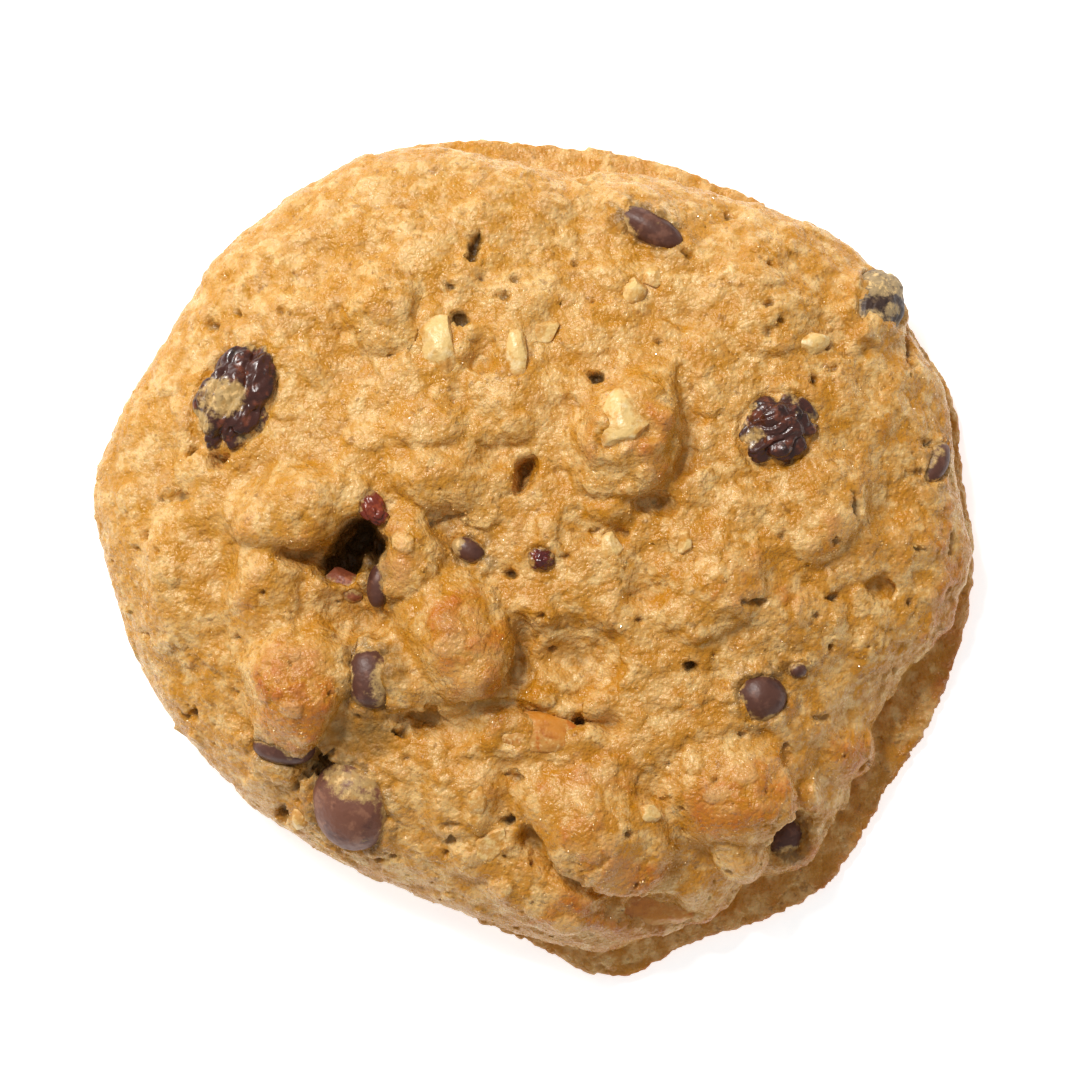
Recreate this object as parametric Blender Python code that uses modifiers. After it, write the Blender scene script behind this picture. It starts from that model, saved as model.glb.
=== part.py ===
"""A kitchen sink cookie: a thick drop cookie with raisins, chocolate chips, nuts and caramel baked in.

Sizes are in millimetres until the last step, which makes them metres. +Z is up, the cookie rests
on its flat underside at Z = 0, and X and Y run across it. Every piece is its own object.
"""

import itertools
import math

import bmesh
import bpy
import numpy as np
from mathutils import Matrix, Vector
from mathutils.bvhtree import BVHTree

MM = 0.001

# ---- The dough as a whole ----
THICKNESS = 18.5          # of the dome, without its lumps
EDGE_HEIGHT = 5.0         # where the side is widest
FOOT_HEIGHT = 2.6         # of the dough that has run out beyond the dome
SHOULDER = 2.7            # 2 is a half ellipsoid, more is flatter with a rounder shoulder
TUCK = 1.3                # how far the side draws in under the edge
TRIM_DEPTH = 0.5          # of the raw underside, cut off flat
RELIEF_FADE = 1.15        # how fast the lumps fade down the side, as a share of the way down
CALM_FROM = 0.86          # share of the outline beyond which the lumps are calmer
CALM_SHARE = 0.75         # how much calmer, at the outline itself

# The outline from above: bearing in degrees from +X, and radius
OUTLINE = [(0, 48.6), (12, 48.4), (22, 50.2), (31, 48.4), (41, 49.3), (62, 46.3), (88, 45.8),
           (108, 47.7), (130, 48.0), (150, 47.0), (170, 49.1), (190, 45.4), (210, 42.7), (230, 40.1),
           (248, 38.8), (260, 40.3), (270, 42.9), (281, 48.3), (293, 45.9), (310, 49.2), (326, 46.9),
           (350, 48.6)]
# The foot: bearing, and how far it reaches beyond the dome
FOOT = [(0, 0.6), (18, 1.6), (30, 0.4), (50, 0.2), (64, 1.8), (78, 2.3), (84, 4.0), (90, 3.2),
        (102, 0.9), (112, 0.0), (255, 0.0), (270, 1.1), (282, 4.2), (294, 1.9), (305, 4.9), (318, 3.7),
        (337, 6.4), (350, 1.8)]

# ---- Lobes: x, y, half length, half width, turn, rise, bearing of the crisp lip ----
LOBES = [
    (-17.0, 27.5, 5.8, 4.4, 80, 2.4, -40),      # dough over a whole nut
    (9.6, 13.6, 7.4, 6.4, 60, 3.8, -80),        # the nut cluster
    (-25.8, 5.6, 8.2, 4.4, 10, 3.8, -80),        # brow over the hollow
    (-29.5, -3.5, 7.0, 4.8, 80, 2.4, -10),      # cheek left of the hollow
    (-26.2, -13.2, 7.0, 6.0, 80, 5.6, -50),     # knob low on the left
    (-8.8, -7.6, 8.2, 6.0, -62, 4.6, -45),      # browned lobe right of the hollow
    (-13.2, 0.5, 6.5, 3.0, 96, 2.8, -10),       # its neck
    (20.4, -25.4, 7.2, 6.2, 25, 5.0, -25),      # knob low on the right
    (21.8, -31.0, 3.8, 3.2, -10, 3.2, -70),     # its chin
    (6.6, -28.6, 9.4, 6.2, -28, 3.8, -95),     # long lip between the knobs
    (1.5, -37.3, 7.0, 3.6, -5, 1.8, -90),       # lower ledge
    (34.0, -21.5, 3.6, 2.6, 60, 2.0, -60),
    (30.0, -26.0, 2.2, 1.8, 0, 1.2, -90),
    (11.5, 38.4, 5.6, 3.2, -14, 2.2, -100),     # brow over the top chip
    (-27.2, -22.6, 3.6, 1.8, 0, 1.8, -90),      # shelf under the knob
    (-13.6, -13.4, 3.4, 3.2, 0, 1.8, -60),
    (8.2, 5.0, 3.2, 2.2, 0, 1.8, -90),
    (-11.0, 8.4, 5.6, 3.2, -20, 2.0, -110),
    (-11.2, 15.0, 4.2, 3.0, 0, 1.6, -80),
    (19.5, -3.0, 7.0, 4.6, 35, 1.9, -70),
    (30.5, 6.0, 7.0, 5.5, 60, 1.6, -60),
    (-34.0, 30.0, 6.5, 5.0, 40, 1.0, 130),
    (-2.0, 38.0, 6.0, 4.0, 0, 0.9, 90),
    (24.0, 27.0, 6.0, 4.5, -30, 1.8, -60),
    (37.0, 27.5, 4.6, 4.4, 0, 1.4, -80),        # dough over a buried raisin
    (-8.0, -25.5, 5.5, 4.5, 20, 1.8, -70),
    (-38.0, -3.0, 5.0, 6.0, 0, 0.8, 180),
]
LOBE_LEAN = 0.28          # how far a lobe hangs over its crisp lip, as a share of its rise
CRISP, GENTLE = 0.38, 1.5  # how steep a lobe's edge is at the lip, and away from it

# ---- Hollows: x, y, half length, half width, turn, depth, crispness as for the lobes ----
HOLLOWS = [
    (-19.6, 1.9, 3.9, 2.3, 38, 9.0, 0.5),        # the deep hollow
    (-20.8, -0.6, 2.7, 1.7, 0, 8.0, 0.5),
    (-17.2, 0.4, 1.7, 2.6, 0, 8.0, 0.5),
    (-24.6, 0.2, 3.2, 1.0, 0, 3.5, 0.6),        # its left tip
    (-19.2, -6.0, 4.6, 4.4, 0, 3.2, 1.0),       # its sandy floor
    (4.0, -11.0, 6.8, 5.0, 0, 2.8, 1.1),        # hollow in the middle
    (-1.0, -10.8, 1.9, 4.6, 0, 2.6, 0.6),
    (-10.5, -17.6, 6.5, 2.4, -6, 2.2, 0.9),
    (-23.6, -22.4, 2.8, 1.7, -45, 3.4, 0.6),    # behind the large chip
    (-1.0, 8.6, 1.1, 2.0, -20, 4.5, 0.5),
    (-3.6, 11.2, 3.4, 2.8, 0, 1.4, 1.0),
    (27.6, -30.2, 2.8, 3.6, 0, 5.0, 0.6),       # under the right knob
    (11.7, -2.9, 2.8, 2.4, 0, 1.3, 0.8),
    (37.2, -3.0, 1.7, 1.4, 0, 1.8, 0.6),
    (-5.6, 22.0, 1.9, 2.5, 0, 1.2, 0.8),
    (13.0, 6.0, 2.8, 1.7, 0, 2.2, 0.7),
    (12.0, -38.6, 6.5, 2.2, -8, 3.0, 0.7),      # under the long lip
    (-34.3, 10.2, 1.3, 1.1, 0, 3.0, 0.6),
]

# ---- Grooves: half width, depth, and the points they run through ----
GROOVES = [
    (1.3, 1.9, [(-6.0, -16.2), (2.0, -17.2), (5.0, -17.5), (8.7, -18.6)]),
    (1.5, 1.4, [(16.2, 10.0), (17.0, 15.0), (16.2, 20.0)]),
    (1.0, 0.9, [(-21.5, 27.0), (-20.5, 24.5)]),
    (1.2, 1.2, [(41.8, -13.6), (43.6, -11.0), (44.8, -7.0), (46.2, -4.0)]),
    (1.0, 0.8, [(24.0, -23.2), (26.8, -21.4)]),
    (1.3, 2.2, [(-0.5, -29.8), (2.5, -33.2), (7.5, -35.6), (10.0, -36.0)]),
]

# ---- Uneven dough: cell size, height, seed ----
SWELLS = [(17.0, 1.0, 3), (7.5, 0.9, 5), (3.6, 0.6, 7)]
WANDER = [(6.0, 0.9, 11), (2.4, 0.35, 13)]   # how far the edges of the lobes and hollows wander

# ---- Meshing ----
TOP_SHARE, SIDE_SHARE = 0.64, 0.16           # of the skin's faces, the rest being the underside
SKIN_DETAIL = 6                              # subdivisions of the starting icosphere
VOXEL = 0.75
DOUGH_FACES = 5000                           # before flakes and pockets
FINISHED_FACES = 8200                        # with them
SMALL, SMALL_FACES = 2.8, 76                 # a piece with a half length under the first gets few faces
GAP = 0.32                                   # between the dough and each piece in it

# ---- Oat flakes fused to the dough ----
FLAKES = 34
FLAKE_SIZE = (3.0, 2.2, 0.5)                 # half length, half width, half thickness
FLAKE_CLEAR = 2.2                            # from the edge of any other piece
FLAKE_REACH = 40.0                           # of the spiral they are laid along, from the middle
FLAKE_DRIFT, FLAKE_TIP = 2.0, 0.15           # how far each may stray from it, and tip, in radians
FLAKE_UPRIGHT = 0.75                         # the least upright dough that one is laid on
GOLDEN_TURN = math.radians(137.508)

# ---- Pieces: name, x, y, half sizes, turn, tip, how far the middle is above the dough ----
UP_SHARE = 0.3            # how far a piece leans back to level from the slope of the dome
RAISINS = [
    ("raisin_left", -32.3, 16.5, (6.4, 4.6, 3.6), 68, 0, -1.4),
    ("raisin_right", 26.0, 13.8, (4.6, 3.9, 3.2), 35, 0, -0.9),
    ("raisin_buried", 36.6, 26.9, (4.8, 3.4, 2.8), 62, 0, -1.9),
    ("cherry_dot", 0.65, -0.1, (1.5, 1.4, 1.3), 0, 0, -0.3),
    ("fruit_skin", -17.4, 5.4, (2.4, 1.5, 1.0), 130, 18, 0.0),
]
CHIPS = [
    ("chip_top", 12.4, 35.5, (4.0, 1.8, 1.9), -31, 14, -0.8),
    ("chip_rim", 43.2, 10.2, (2.6, 1.4, 1.6), 60, 30, -1.1),
    ("chip_round", 24.2, -15.0, (2.8, 2.6, 2.4), 0, 0, -0.7),
    ("chip_tiny", 28.1, -12.1, (1.0, 0.9, 0.9), 0, 0, -0.2),
    ("chip_knob", 26.9, -30.4, (3.0, 2.7, 2.5), 60, 0, -0.8),
    ("chip_big", -19.8, -26.8, (5.2, 4.3, 3.5), 104, -8, -1.0),
    ("chip_shelf", -27.0, -20.5, (3.5, 1.8, 1.9), -5, 0, -1.4),
    ("chip_mid", -17.6, -12.9, (3.3, 2.6, 2.4), 100, 0, -0.7),
    ("chip_hollow", -16.7, -3.0, (2.4, 1.3, 1.6), 85, 0, -0.5),
    ("chip_neck", -7.2, 0.8, (1.9, 1.3, 1.2), -25, 0, -0.3),
]
NUTS = [
    ("nut_pale", -10.4, 22.0, (3.6, 2.7, 1.9), 78, 0, -0.6),
    ("nut_cluster", 10.0, 14.4, (4.0, 3.1, 2.4), 62, 0, -1.1),
    ("nut_sliver", -5.4, -31.4, (3.2, 1.4, 1.1), 45, 0, -0.5),
    ("pecan_bit", -20.6, -2.9, (2.2, 1.5, 1.2), -30, 0, -0.4),
    ("nut_bit_1", -1.9, 21.6, (2.5, 1.3, 1.1), 95, 0, -0.5),
    ("nut_bit_2", 1.1, 24.2, (1.6, 1.3, 1.0), 20, 0, -0.45),
    ("nut_bit_3", 10.5, 28.6, (1.6, 1.3, 1.0), 60, 0, -0.45),
    ("nut_bit_4", 13.1, 30.0, (1.6, 1.3, 1.0), 10, 0, -0.45),
    ("nut_bit_5", 29.7, 23.0, (1.9, 1.2, 0.9), 20, 0, -0.4),
    ("nut_bit_6", 12.0, -27.5, (1.5, 1.0, 0.8), 15, 0, -0.3),
    ("nut_bit_7", -6.2, -26.0, (1.7, 1.0, 0.8), 85, 0, -0.4),
    ("nut_bit_8", 16.0, 1.6, (1.4, 1.0, 0.8), 75, 0, -0.3),
    ("nut_bit_9", 8.0, 1.0, (1.8, 1.3, 0.9), 70, 0, -0.45),
    ("nut_bit_10", -25.5, -28.5, (1.6, 1.1, 0.9), 75, 0, -0.35),
]
CARAMELS = [
    ("caramel_slab", 0.2, -18.7, (4.6, 2.2, 1.1), -6, -14, -0.6),
    ("caramel_lip", 11.6, -37.7, (6.2, 2.5, 1.5), -10, -8, -0.5),
]

# ---- Materials: colour, roughness ----
FINISHES = {
    "dough": ((0.62, 0.36, 0.13), 0.72),
    "raisin": ((0.11, 0.035, 0.018), 0.3),
    "chocolate": ((0.13, 0.055, 0.035), 0.45),
    "nut": ((0.78, 0.58, 0.31), 0.6),
    "caramel": ((0.55, 0.24, 0.06), 0.3),
}


def gradient_noise(points, cell, seed):
    """Smooth random swells between about -1 and 1, one to each cell of space."""
    draw = np.random.RandomState(seed)
    slopes = draw.normal(size=(256, 3))
    slopes /= np.linalg.norm(slopes, axis=1)[:, None]
    order = draw.permutation(256)
    lattice = np.floor(points / cell).astype(int)
    inside = points / cell - lattice
    ease = inside ** 3 * (inside * (inside * 6 - 15) + 10)
    total = np.zeros(len(points))
    for corner in itertools.product((0, 1), repeat=3):
        key = np.zeros(len(points), int)
        weight = np.ones(len(points))
        for axis in range(3):
            key = order[(key + lattice[:, axis] + corner[axis]) & 255]
            weight *= ease[:, axis] if corner[axis] else 1 - ease[:, axis]
        total += weight * np.sum(slopes[key] * (inside - corner), axis=1)
    return total * 1.6


def around(table, bearing):
    """A smooth closed curve through a table of bearings and values."""
    steps = np.arange(0, 360, 0.5)
    marks, values = zip(*table)
    ring = np.interp(steps, marks, values, period=360)
    window = np.hanning(27)
    padded = np.concatenate([ring[-13:], ring, ring[:13]])
    smooth = np.convolve(padded, window / window.sum(), mode="valid")
    return np.interp(bearing, steps, smooth, period=360)


def cookie_skin(sphere):
    """Each point of a unit sphere, moved to the plain cookie's skin."""
    bearing = np.degrees(np.arctan2(sphere[:, 1], sphere[:, 0])) % 360
    share = (1 - sphere[:, 2]) / 2
    rim = around(OUTLINE, bearing)
    dome = rim - around(FOOT, bearing)
    across = np.sqrt(np.clip(share / TOP_SHARE, 0, 1))
    down = np.clip((share - TOP_SHARE) / SIDE_SHARE, 0, 1)
    under = np.sqrt(np.clip((1 - share) / (1 - TOP_SHARE - SIDE_SHARE), 0, 1))
    top_z = EDGE_HEIGHT + (THICKNESS - EDGE_HEIGHT) * np.sqrt(1 - across ** SHOULDER)
    side_z = np.interp(down, [0, 0.45, 0.8, 1], [EDGE_HEIGHT, FOOT_HEIGHT, 0.6 * FOOT_HEIGHT, -TRIM_DEPTH])
    side_r = dome + (rim - dome) * np.interp(down, [0, 0.4, 0.8, 1], [0, 0.05, 1, 1])
    notch = 0.3 + 0.9 * np.clip((rim - dome) / 3, 0, 1)
    side_r -= notch * np.interp(down, [0, 0.25, 0.45, 0.6], [0, 1, 0.5, 0])
    side_r -= np.interp(down, [0.6, 0.8, 1], [0, 0.1, TUCK])
    radius = np.where(down <= 0, dome * across, np.where(down < 1, side_r, (rim - TUCK) * under))
    height = np.where(down <= 0, top_z, np.where(down < 1, side_z, -TRIM_DEPTH))
    turn = np.radians(bearing)
    return np.stack([radius * np.cos(turn), radius * np.sin(turn), height], axis=1), down


def oval(x, y, spot):
    """How far each point is from the middle of a turned oval, squared, as a share of its reach, with its bearing."""
    centre_x, centre_y, half_length, half_width, turn = spot[:5]
    c, s = math.cos(math.radians(turn)), math.sin(math.radians(turn))
    u, v = x - centre_x, y - centre_y
    reach = ((u * c + v * s) / half_length) ** 2 + ((v * c - u * s) / half_width) ** 2
    return reach, np.arctan2(v, u)


def along_line(x, y, line):
    """Distance from each point to a line of straight runs."""
    nearest = np.full(len(x), 1e9)
    for (ax, ay), (bx, by) in zip(line, line[1:]):
        run = (bx - ax) ** 2 + (by - ay) ** 2
        share = np.clip(((x - ax) * (bx - ax) + (y - ay) * (by - ay)) / run, 0, 1)
        nearest = np.minimum(nearest, np.hypot(x - ax - share * (bx - ax), y - ay - share * (by - ay)))
    return nearest


def relief(points):
    """How far the dough stands out at each point, and how far it leans over a crisp lip."""
    flat = points * [1, 1, 0]
    x, y = points[:, 0].copy(), points[:, 1].copy()
    for cell, reach, seed in WANDER:
        x += reach * gradient_noise(flat, cell, seed)
        y += reach * gradient_noise(flat, cell, seed + 100)
    rise = np.zeros(len(points))
    lean = np.zeros((len(points), 3))
    for spot in LOBES:
        reach, bearing = oval(x, y, spot)
        lip = math.radians(spot[6])
        facing = 0.5 + 0.5 * np.cos(bearing - lip)
        bump = spot[5] * np.clip(1 - reach, 0, 1) ** (GENTLE + (CRISP - GENTLE) * facing)
        higher = bump > rise
        rise = np.where(higher, bump, rise)
        push = LOBE_LEAN * bump * facing
        lean[higher] = np.stack([push * math.cos(lip), push * math.sin(lip), 0 * push], axis=1)[higher]
    dip = np.zeros(len(points))
    for spot in HOLLOWS:
        reach, _ = oval(x, y, spot)
        dip = np.maximum(dip, spot[5] * np.clip(1 - reach, 0, 1) ** spot[6])
    for half_width, depth, line in GROOVES:
        near = np.clip(along_line(x, y, line) / half_width, 0, 1)
        dip = np.maximum(dip, depth * (1 - near ** 2))
    swell = sum(height * gradient_noise(points, cell, seed) for cell, height, seed in SWELLS)
    return rise - dip + swell, lean


def mesh_points(mesh):
    """The points of a mesh as an array."""
    points = np.zeros(len(mesh.vertices) * 3)
    mesh.vertices.foreach_get("co", points)
    return points.reshape(-1, 3)


def set_points(mesh, points):
    mesh.vertices.foreach_set("co", points.ravel())
    mesh.update()


def mesh_normals(mesh):
    """The outward direction at each point of a mesh, as an array."""
    normals = np.zeros(len(mesh.vertices) * 3)
    mesh.vertex_normals.foreach_get("vector", normals)
    return normals.reshape(-1, 3)


def new_object(name, mesh, collection):
    thing = bpy.data.objects.new(name, mesh)
    collection.objects.link(thing)
    return thing


def apply_modifiers(thing):
    """Swaps an object's mesh for the one its modifiers make."""
    graph = bpy.context.evaluated_depsgraph_get()
    made = bpy.data.meshes.new_from_object(thing.evaluated_get(graph))
    thing.modifiers.clear()
    old = thing.data
    thing.data = made
    bpy.data.meshes.remove(old)


def icosphere(name, detail):
    mesh = bpy.data.meshes.new(name)
    ball = bmesh.new()
    bmesh.ops.create_icosphere(ball, subdivisions=detail, radius=1.0)
    ball.to_mesh(mesh)
    ball.free()
    return mesh


def make_dough(collection):
    """The dough before its pockets are cut: a domed skin with lobes, hollows and grooves."""
    mesh = icosphere("dough", SKIN_DETAIL)
    skin, down = cookie_skin(mesh_points(mesh))
    set_points(mesh, skin)
    out, lean = relief(skin)
    kept = np.clip(1 - down * RELIEF_FADE, 0, 1)[:, None]
    bearing = np.degrees(np.arctan2(skin[:, 1], skin[:, 0])) % 360
    edge = np.hypot(skin[:, 0], skin[:, 1]) / around(OUTLINE, bearing)
    calm = 1 - CALM_SHARE * np.clip((edge - CALM_FROM) / (1 - CALM_FROM), 0, 1)[:, None]
    set_points(mesh, skin + (mesh_normals(mesh) * out[:, None] + lean) * kept * calm)
    dough = new_object("dough", mesh, collection)
    remesh = dough.modifiers.new("one_skin", "REMESH")
    remesh.mode = "VOXEL"
    remesh.voxel_size = VOXEL
    apply_modifiers(dough)
    fewer_faces(dough, DOUGH_FACES)
    return dough


def fewer_faces(thing, wanted):
    """Thins an object's mesh to about that many triangles."""
    thin = thing.modifiers.new("fewer_faces", "DECIMATE")
    thin.ratio = wanted / sum(len(face.vertices) - 2 for face in thing.data.polygons)
    apply_modifiers(thing)


def flat_underside(mesh):
    """Cuts the raw underside off at Z = 0 and closes it with one flat face."""
    shape = bmesh.new()
    shape.from_mesh(mesh)
    everything = shape.verts[:] + shape.edges[:] + shape.faces[:]
    cut = bmesh.ops.bisect_plane(shape, geom=everything, dist=1e-5, plane_co=(0, 0, 0),
                                 plane_no=(0, 0, 1), clear_inner=True)
    rim = [part for part in cut["geom_cut"] if isinstance(part, bmesh.types.BMEdge)]
    bmesh.ops.edgenet_fill(shape, edges=rim)
    bmesh.ops.remove_doubles(shape, verts=shape.verts[:], dist=0.02)
    bmesh.ops.triangulate(shape, faces=shape.faces[:])
    bmesh.ops.recalc_face_normals(shape, faces=shape.faces[:])
    shape.to_mesh(mesh)
    shape.free()


def surface_finder(dough):
    """A search tree of the dough's faces."""
    shape = bmesh.new()
    shape.from_mesh(dough.data)
    tree = BVHTree.FromBMesh(shape)
    shape.free()
    return tree


def surface_at(tree, x, y):
    """The point of the dough's top above a place on the plan, and the way up there."""
    place, normal, _, _ = tree.ray_cast(Vector((x, y, 5 * THICKNESS)), Vector((0, 0, -1)))
    return place, normal


def dome_way_up(x, y):
    """The way up from the plain dome, without its lobes, at a place on the plan."""
    bearing = math.atan2(y, x)
    dome = float(around(OUTLINE, math.degrees(bearing) % 360) - around(FOOT, math.degrees(bearing) % 360))
    across = min(math.hypot(x, y) / dome, 0.97)
    drop = SHOULDER / 2 * across ** (SHOULDER - 1) / math.sqrt(1 - across ** SHOULDER)
    steep = (THICKNESS - EDGE_HEIGHT) * drop / dome
    return Vector((steep * math.cos(bearing), steep * math.sin(bearing), 1)).normalized()


# Each of these turns a unit ball into a piece's own form, before its sizes stretch it.

def wrinkled(ball, seed):
    """A raisin: shrunken, with folds that run round it."""
    folds = np.abs(gradient_noise(ball * [1.0, 1.6, 1.6], 0.62, seed))
    return ball * (1.04 - 0.3 * (0.5 - folds).clip(0)[:, None])


def dropped(ball, seed):
    """A chocolate chip: a drop with a broad foot, softened by the oven."""
    soft = 1 + 0.05 * gradient_noise(ball, 1.0, seed)
    return ball * (soft - 0.1 * np.clip(-ball[:, 2], 0, 1))[:, None]


def chopped(ball, seed):
    """A nut chunk: cut by a few flat faces, with its corners worn."""
    draw = np.random.RandomState(seed)
    shape = ball * (1.12 + 0.08 * gradient_noise(ball, 0.9, seed)[:, None])
    for _ in range(7):
        way = draw.normal(size=3)
        way /= np.linalg.norm(way)
        beyond = np.clip(shape @ way - draw.uniform(0.72, 0.92), 0, None)
        shape = shape - np.outer(beyond, way)
    return shape


def melted(ball, seed):
    """Caramel: a soft flat drop that has run between the crags."""
    return ball * (1 + 0.12 * gradient_noise(ball, 0.8, seed)[:, None])


def add_piece(spot, form, faces, finish, seed, tree, collection, cutters):
    """Sets a piece into the dough, and leaves a slightly larger copy as the cutter of its pocket."""
    name, x, y, sizes, turn, tip, above = spot
    mesh = icosphere(name, 3)
    set_points(mesh, form(mesh_points(mesh), seed) * np.array(sizes))
    piece = new_object(name, mesh, collection)
    fewer_faces(piece, faces)
    pocket = new_object(name + "_pocket", piece.data.copy(), cutters)
    set_points(pocket.data, mesh_points(piece.data) + GAP * mesh_normals(piece.data))
    pocket.display_type = "WIRE"
    pocket.hide_render = True
    piece.data.shade_smooth()
    piece.data.materials.append(finish)
    place, _ = surface_at(tree, x, y)
    level = Vector((0, 0, 1))
    stand = level.rotation_difference(dome_way_up(x, y).lerp(level, UP_SHARE))
    spin = Matrix.Rotation(math.radians(turn), 4, "Z") @ Matrix.Rotation(math.radians(tip), 4, "X")
    for thing in (piece, pocket):
        thing.matrix_world = Matrix.Translation(place + Vector((0, 0, above))) @ stand.to_matrix().to_4x4() @ spin


def add_flakes(dough, tree):
    """Oat flakes along a spiral over the dome, fused to the dough by one union."""
    flakes = bpy.data.collections.new("flakes")
    bpy.context.scene.collection.children.link(flakes)
    draw = np.random.RandomState(29)
    pieces = RAISINS + CHIPS + NUTS + CARAMELS
    for index in range(FLAKES):
        far = FLAKE_REACH * math.sqrt((index + 0.5) / FLAKES)
        x = far * math.cos(index * GOLDEN_TURN) + draw.uniform(-FLAKE_DRIFT, FLAKE_DRIFT)
        y = far * math.sin(index * GOLDEN_TURN) + draw.uniform(-FLAKE_DRIFT, FLAKE_DRIFT)
        turn, tip = draw.uniform(0, math.pi), draw.uniform(-FLAKE_TIP, FLAKE_TIP)
        place, normal = surface_at(tree, x, y)
        crowded = any(math.hypot(x - p[1], y - p[2]) < p[3][0] + FLAKE_CLEAR for p in pieces)
        if crowded or normal.z < FLAKE_UPRIGHT:
            continue
        disc = bmesh.new()
        bmesh.ops.create_uvsphere(disc, u_segments=8, v_segments=3, radius=1.0)
        lie = normal.to_track_quat("Z", "Y").to_matrix().to_4x4()
        spin = Matrix.Rotation(turn, 4, "Z") @ Matrix.Rotation(tip, 4, "X")
        stretch = Matrix.Diagonal((*FLAKE_SIZE, 1))
        disc.transform(Matrix.Translation(place) @ lie @ spin @ stretch)
        mesh = bpy.data.meshes.new("flake")
        disc.to_mesh(mesh)
        disc.free()
        new_object("flake", mesh, flakes)
    boolean(dough, flakes, "UNION")
    for flake in list(flakes.objects):
        bpy.data.objects.remove(flake)
    bpy.data.collections.remove(flakes)


def boolean(thing, collection, operation):
    """One Boolean with every object of a collection, applied."""
    modifier = thing.modifiers.new(operation.lower(), "BOOLEAN")
    modifier.operand_type = "COLLECTION"
    modifier.collection = collection
    modifier.operation = operation
    modifier.solver = "EXACT"
    apply_modifiers(thing)


def keep_largest(mesh):
    """Drops the loose scraps that cutting leaves, and heals the finest slivers."""
    shape = bmesh.new()
    shape.from_mesh(mesh)
    bmesh.ops.triangulate(shape, faces=shape.faces[:])
    waiting, islands = set(shape.verts), []
    while waiting:
        island, edge = set(), [waiting.pop()]
        while edge:
            point = edge.pop()
            island.add(point)
            for link in point.link_edges:
                other = link.other_vert(point)
                if other in waiting:
                    waiting.discard(other)
                    edge.append(other)
        islands.append(island)
    islands.sort(key=len)
    for scrap in islands[:-1]:
        bmesh.ops.delete(shape, geom=list(scrap), context="VERTS")
    shape.to_mesh(mesh)
    shape.free()


def make_material(name):
    colour, roughness = FINISHES[name]
    material = bpy.data.materials.new(name)
    material.use_nodes = True
    shader = material.node_tree.nodes["Principled BSDF"]
    shader.inputs["Base Color"].default_value = (*colour, 1)
    shader.inputs["Roughness"].default_value = roughness
    shader.inputs["Metallic"].default_value = 0.0
    material.diffuse_color = (*colour, 1)
    return material


def to_metres(collections):
    """Centres the cookie on its box, and turns millimetres into metres."""
    bpy.context.view_layer.update()
    things = [thing for collection in collections for thing in collection.objects]
    corners = [thing.matrix_world @ Vector(c) for thing in collections[0].objects for c in thing.bound_box]
    middle = [(min(c[i] for c in corners) + max(c[i] for c in corners)) / 2 for i in (0, 1)]
    root = bpy.data.objects.new("cookie_origin", None)
    collections[0].objects.link(root)
    for thing in things:
        thing.data.transform(Matrix.Scale(MM, 4))
        thing.location = (thing.location - Vector((*middle, 0))) * MM
        thing.parent = root


def main():
    for thing in list(bpy.data.objects):
        bpy.data.objects.remove(thing)
    cookie = bpy.data.collections.new("kitchen_sink_cookie")
    cutters = bpy.data.collections.new("pockets")
    for collection in (cookie, cutters):
        bpy.context.scene.collection.children.link(collection)
    finishes = {name: make_material(name) for name in FINISHES}
    dough = make_dough(cookie)
    tree = surface_finder(dough)
    kinds = [
        (RAISINS, wrinkled, 320, "raisin"),
        (CHIPS, dropped, 170, "chocolate"),
        (NUTS, chopped, 170, "nut"),
        (CARAMELS, melted, 170, "caramel"),
    ]
    for spots, form, faces, finish in kinds:
        for index, spot in enumerate(spots):
            enough = SMALL_FACES if max(spot[3]) < SMALL else faces
            add_piece(spot, form, enough, finishes[finish], 41 + index, tree, cookie, cutters)
    add_flakes(dough, tree)
    boolean(dough, cutters, "DIFFERENCE")
    keep_largest(dough.data)
    fewer_faces(dough, FINISHED_FACES)
    flat_underside(dough.data)
    dough.data.materials.clear()
    dough.data.materials.append(finishes["dough"])
    to_metres([cookie, cutters])


main()
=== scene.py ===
# %% [markdown]
# # A kitchen sink cookie, modelled the way it is baked
#
# A kitchen sink cookie is a thick drop cookie: stiff oat dough is heaped on a tray with raisins,
# chocolate chips, chopped nuts and caramel in it, and it slumps as it bakes. The heap keeps its
# lumps on top, and a thin foot of dough runs out round the bottom. This lesson starts from the
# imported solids, dresses each of them, and ends with light and a camera. Sizes are in millimetres
# until a mesh is finished, because that is how a baker would measure it.

# %% The frame
import itertools
import math

import bmesh
import bpy
import numpy as np
from mathutils import Matrix, Vector
from mathutils.bvhtree import BVHTree
from mathutils.kdtree import KDTree


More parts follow.
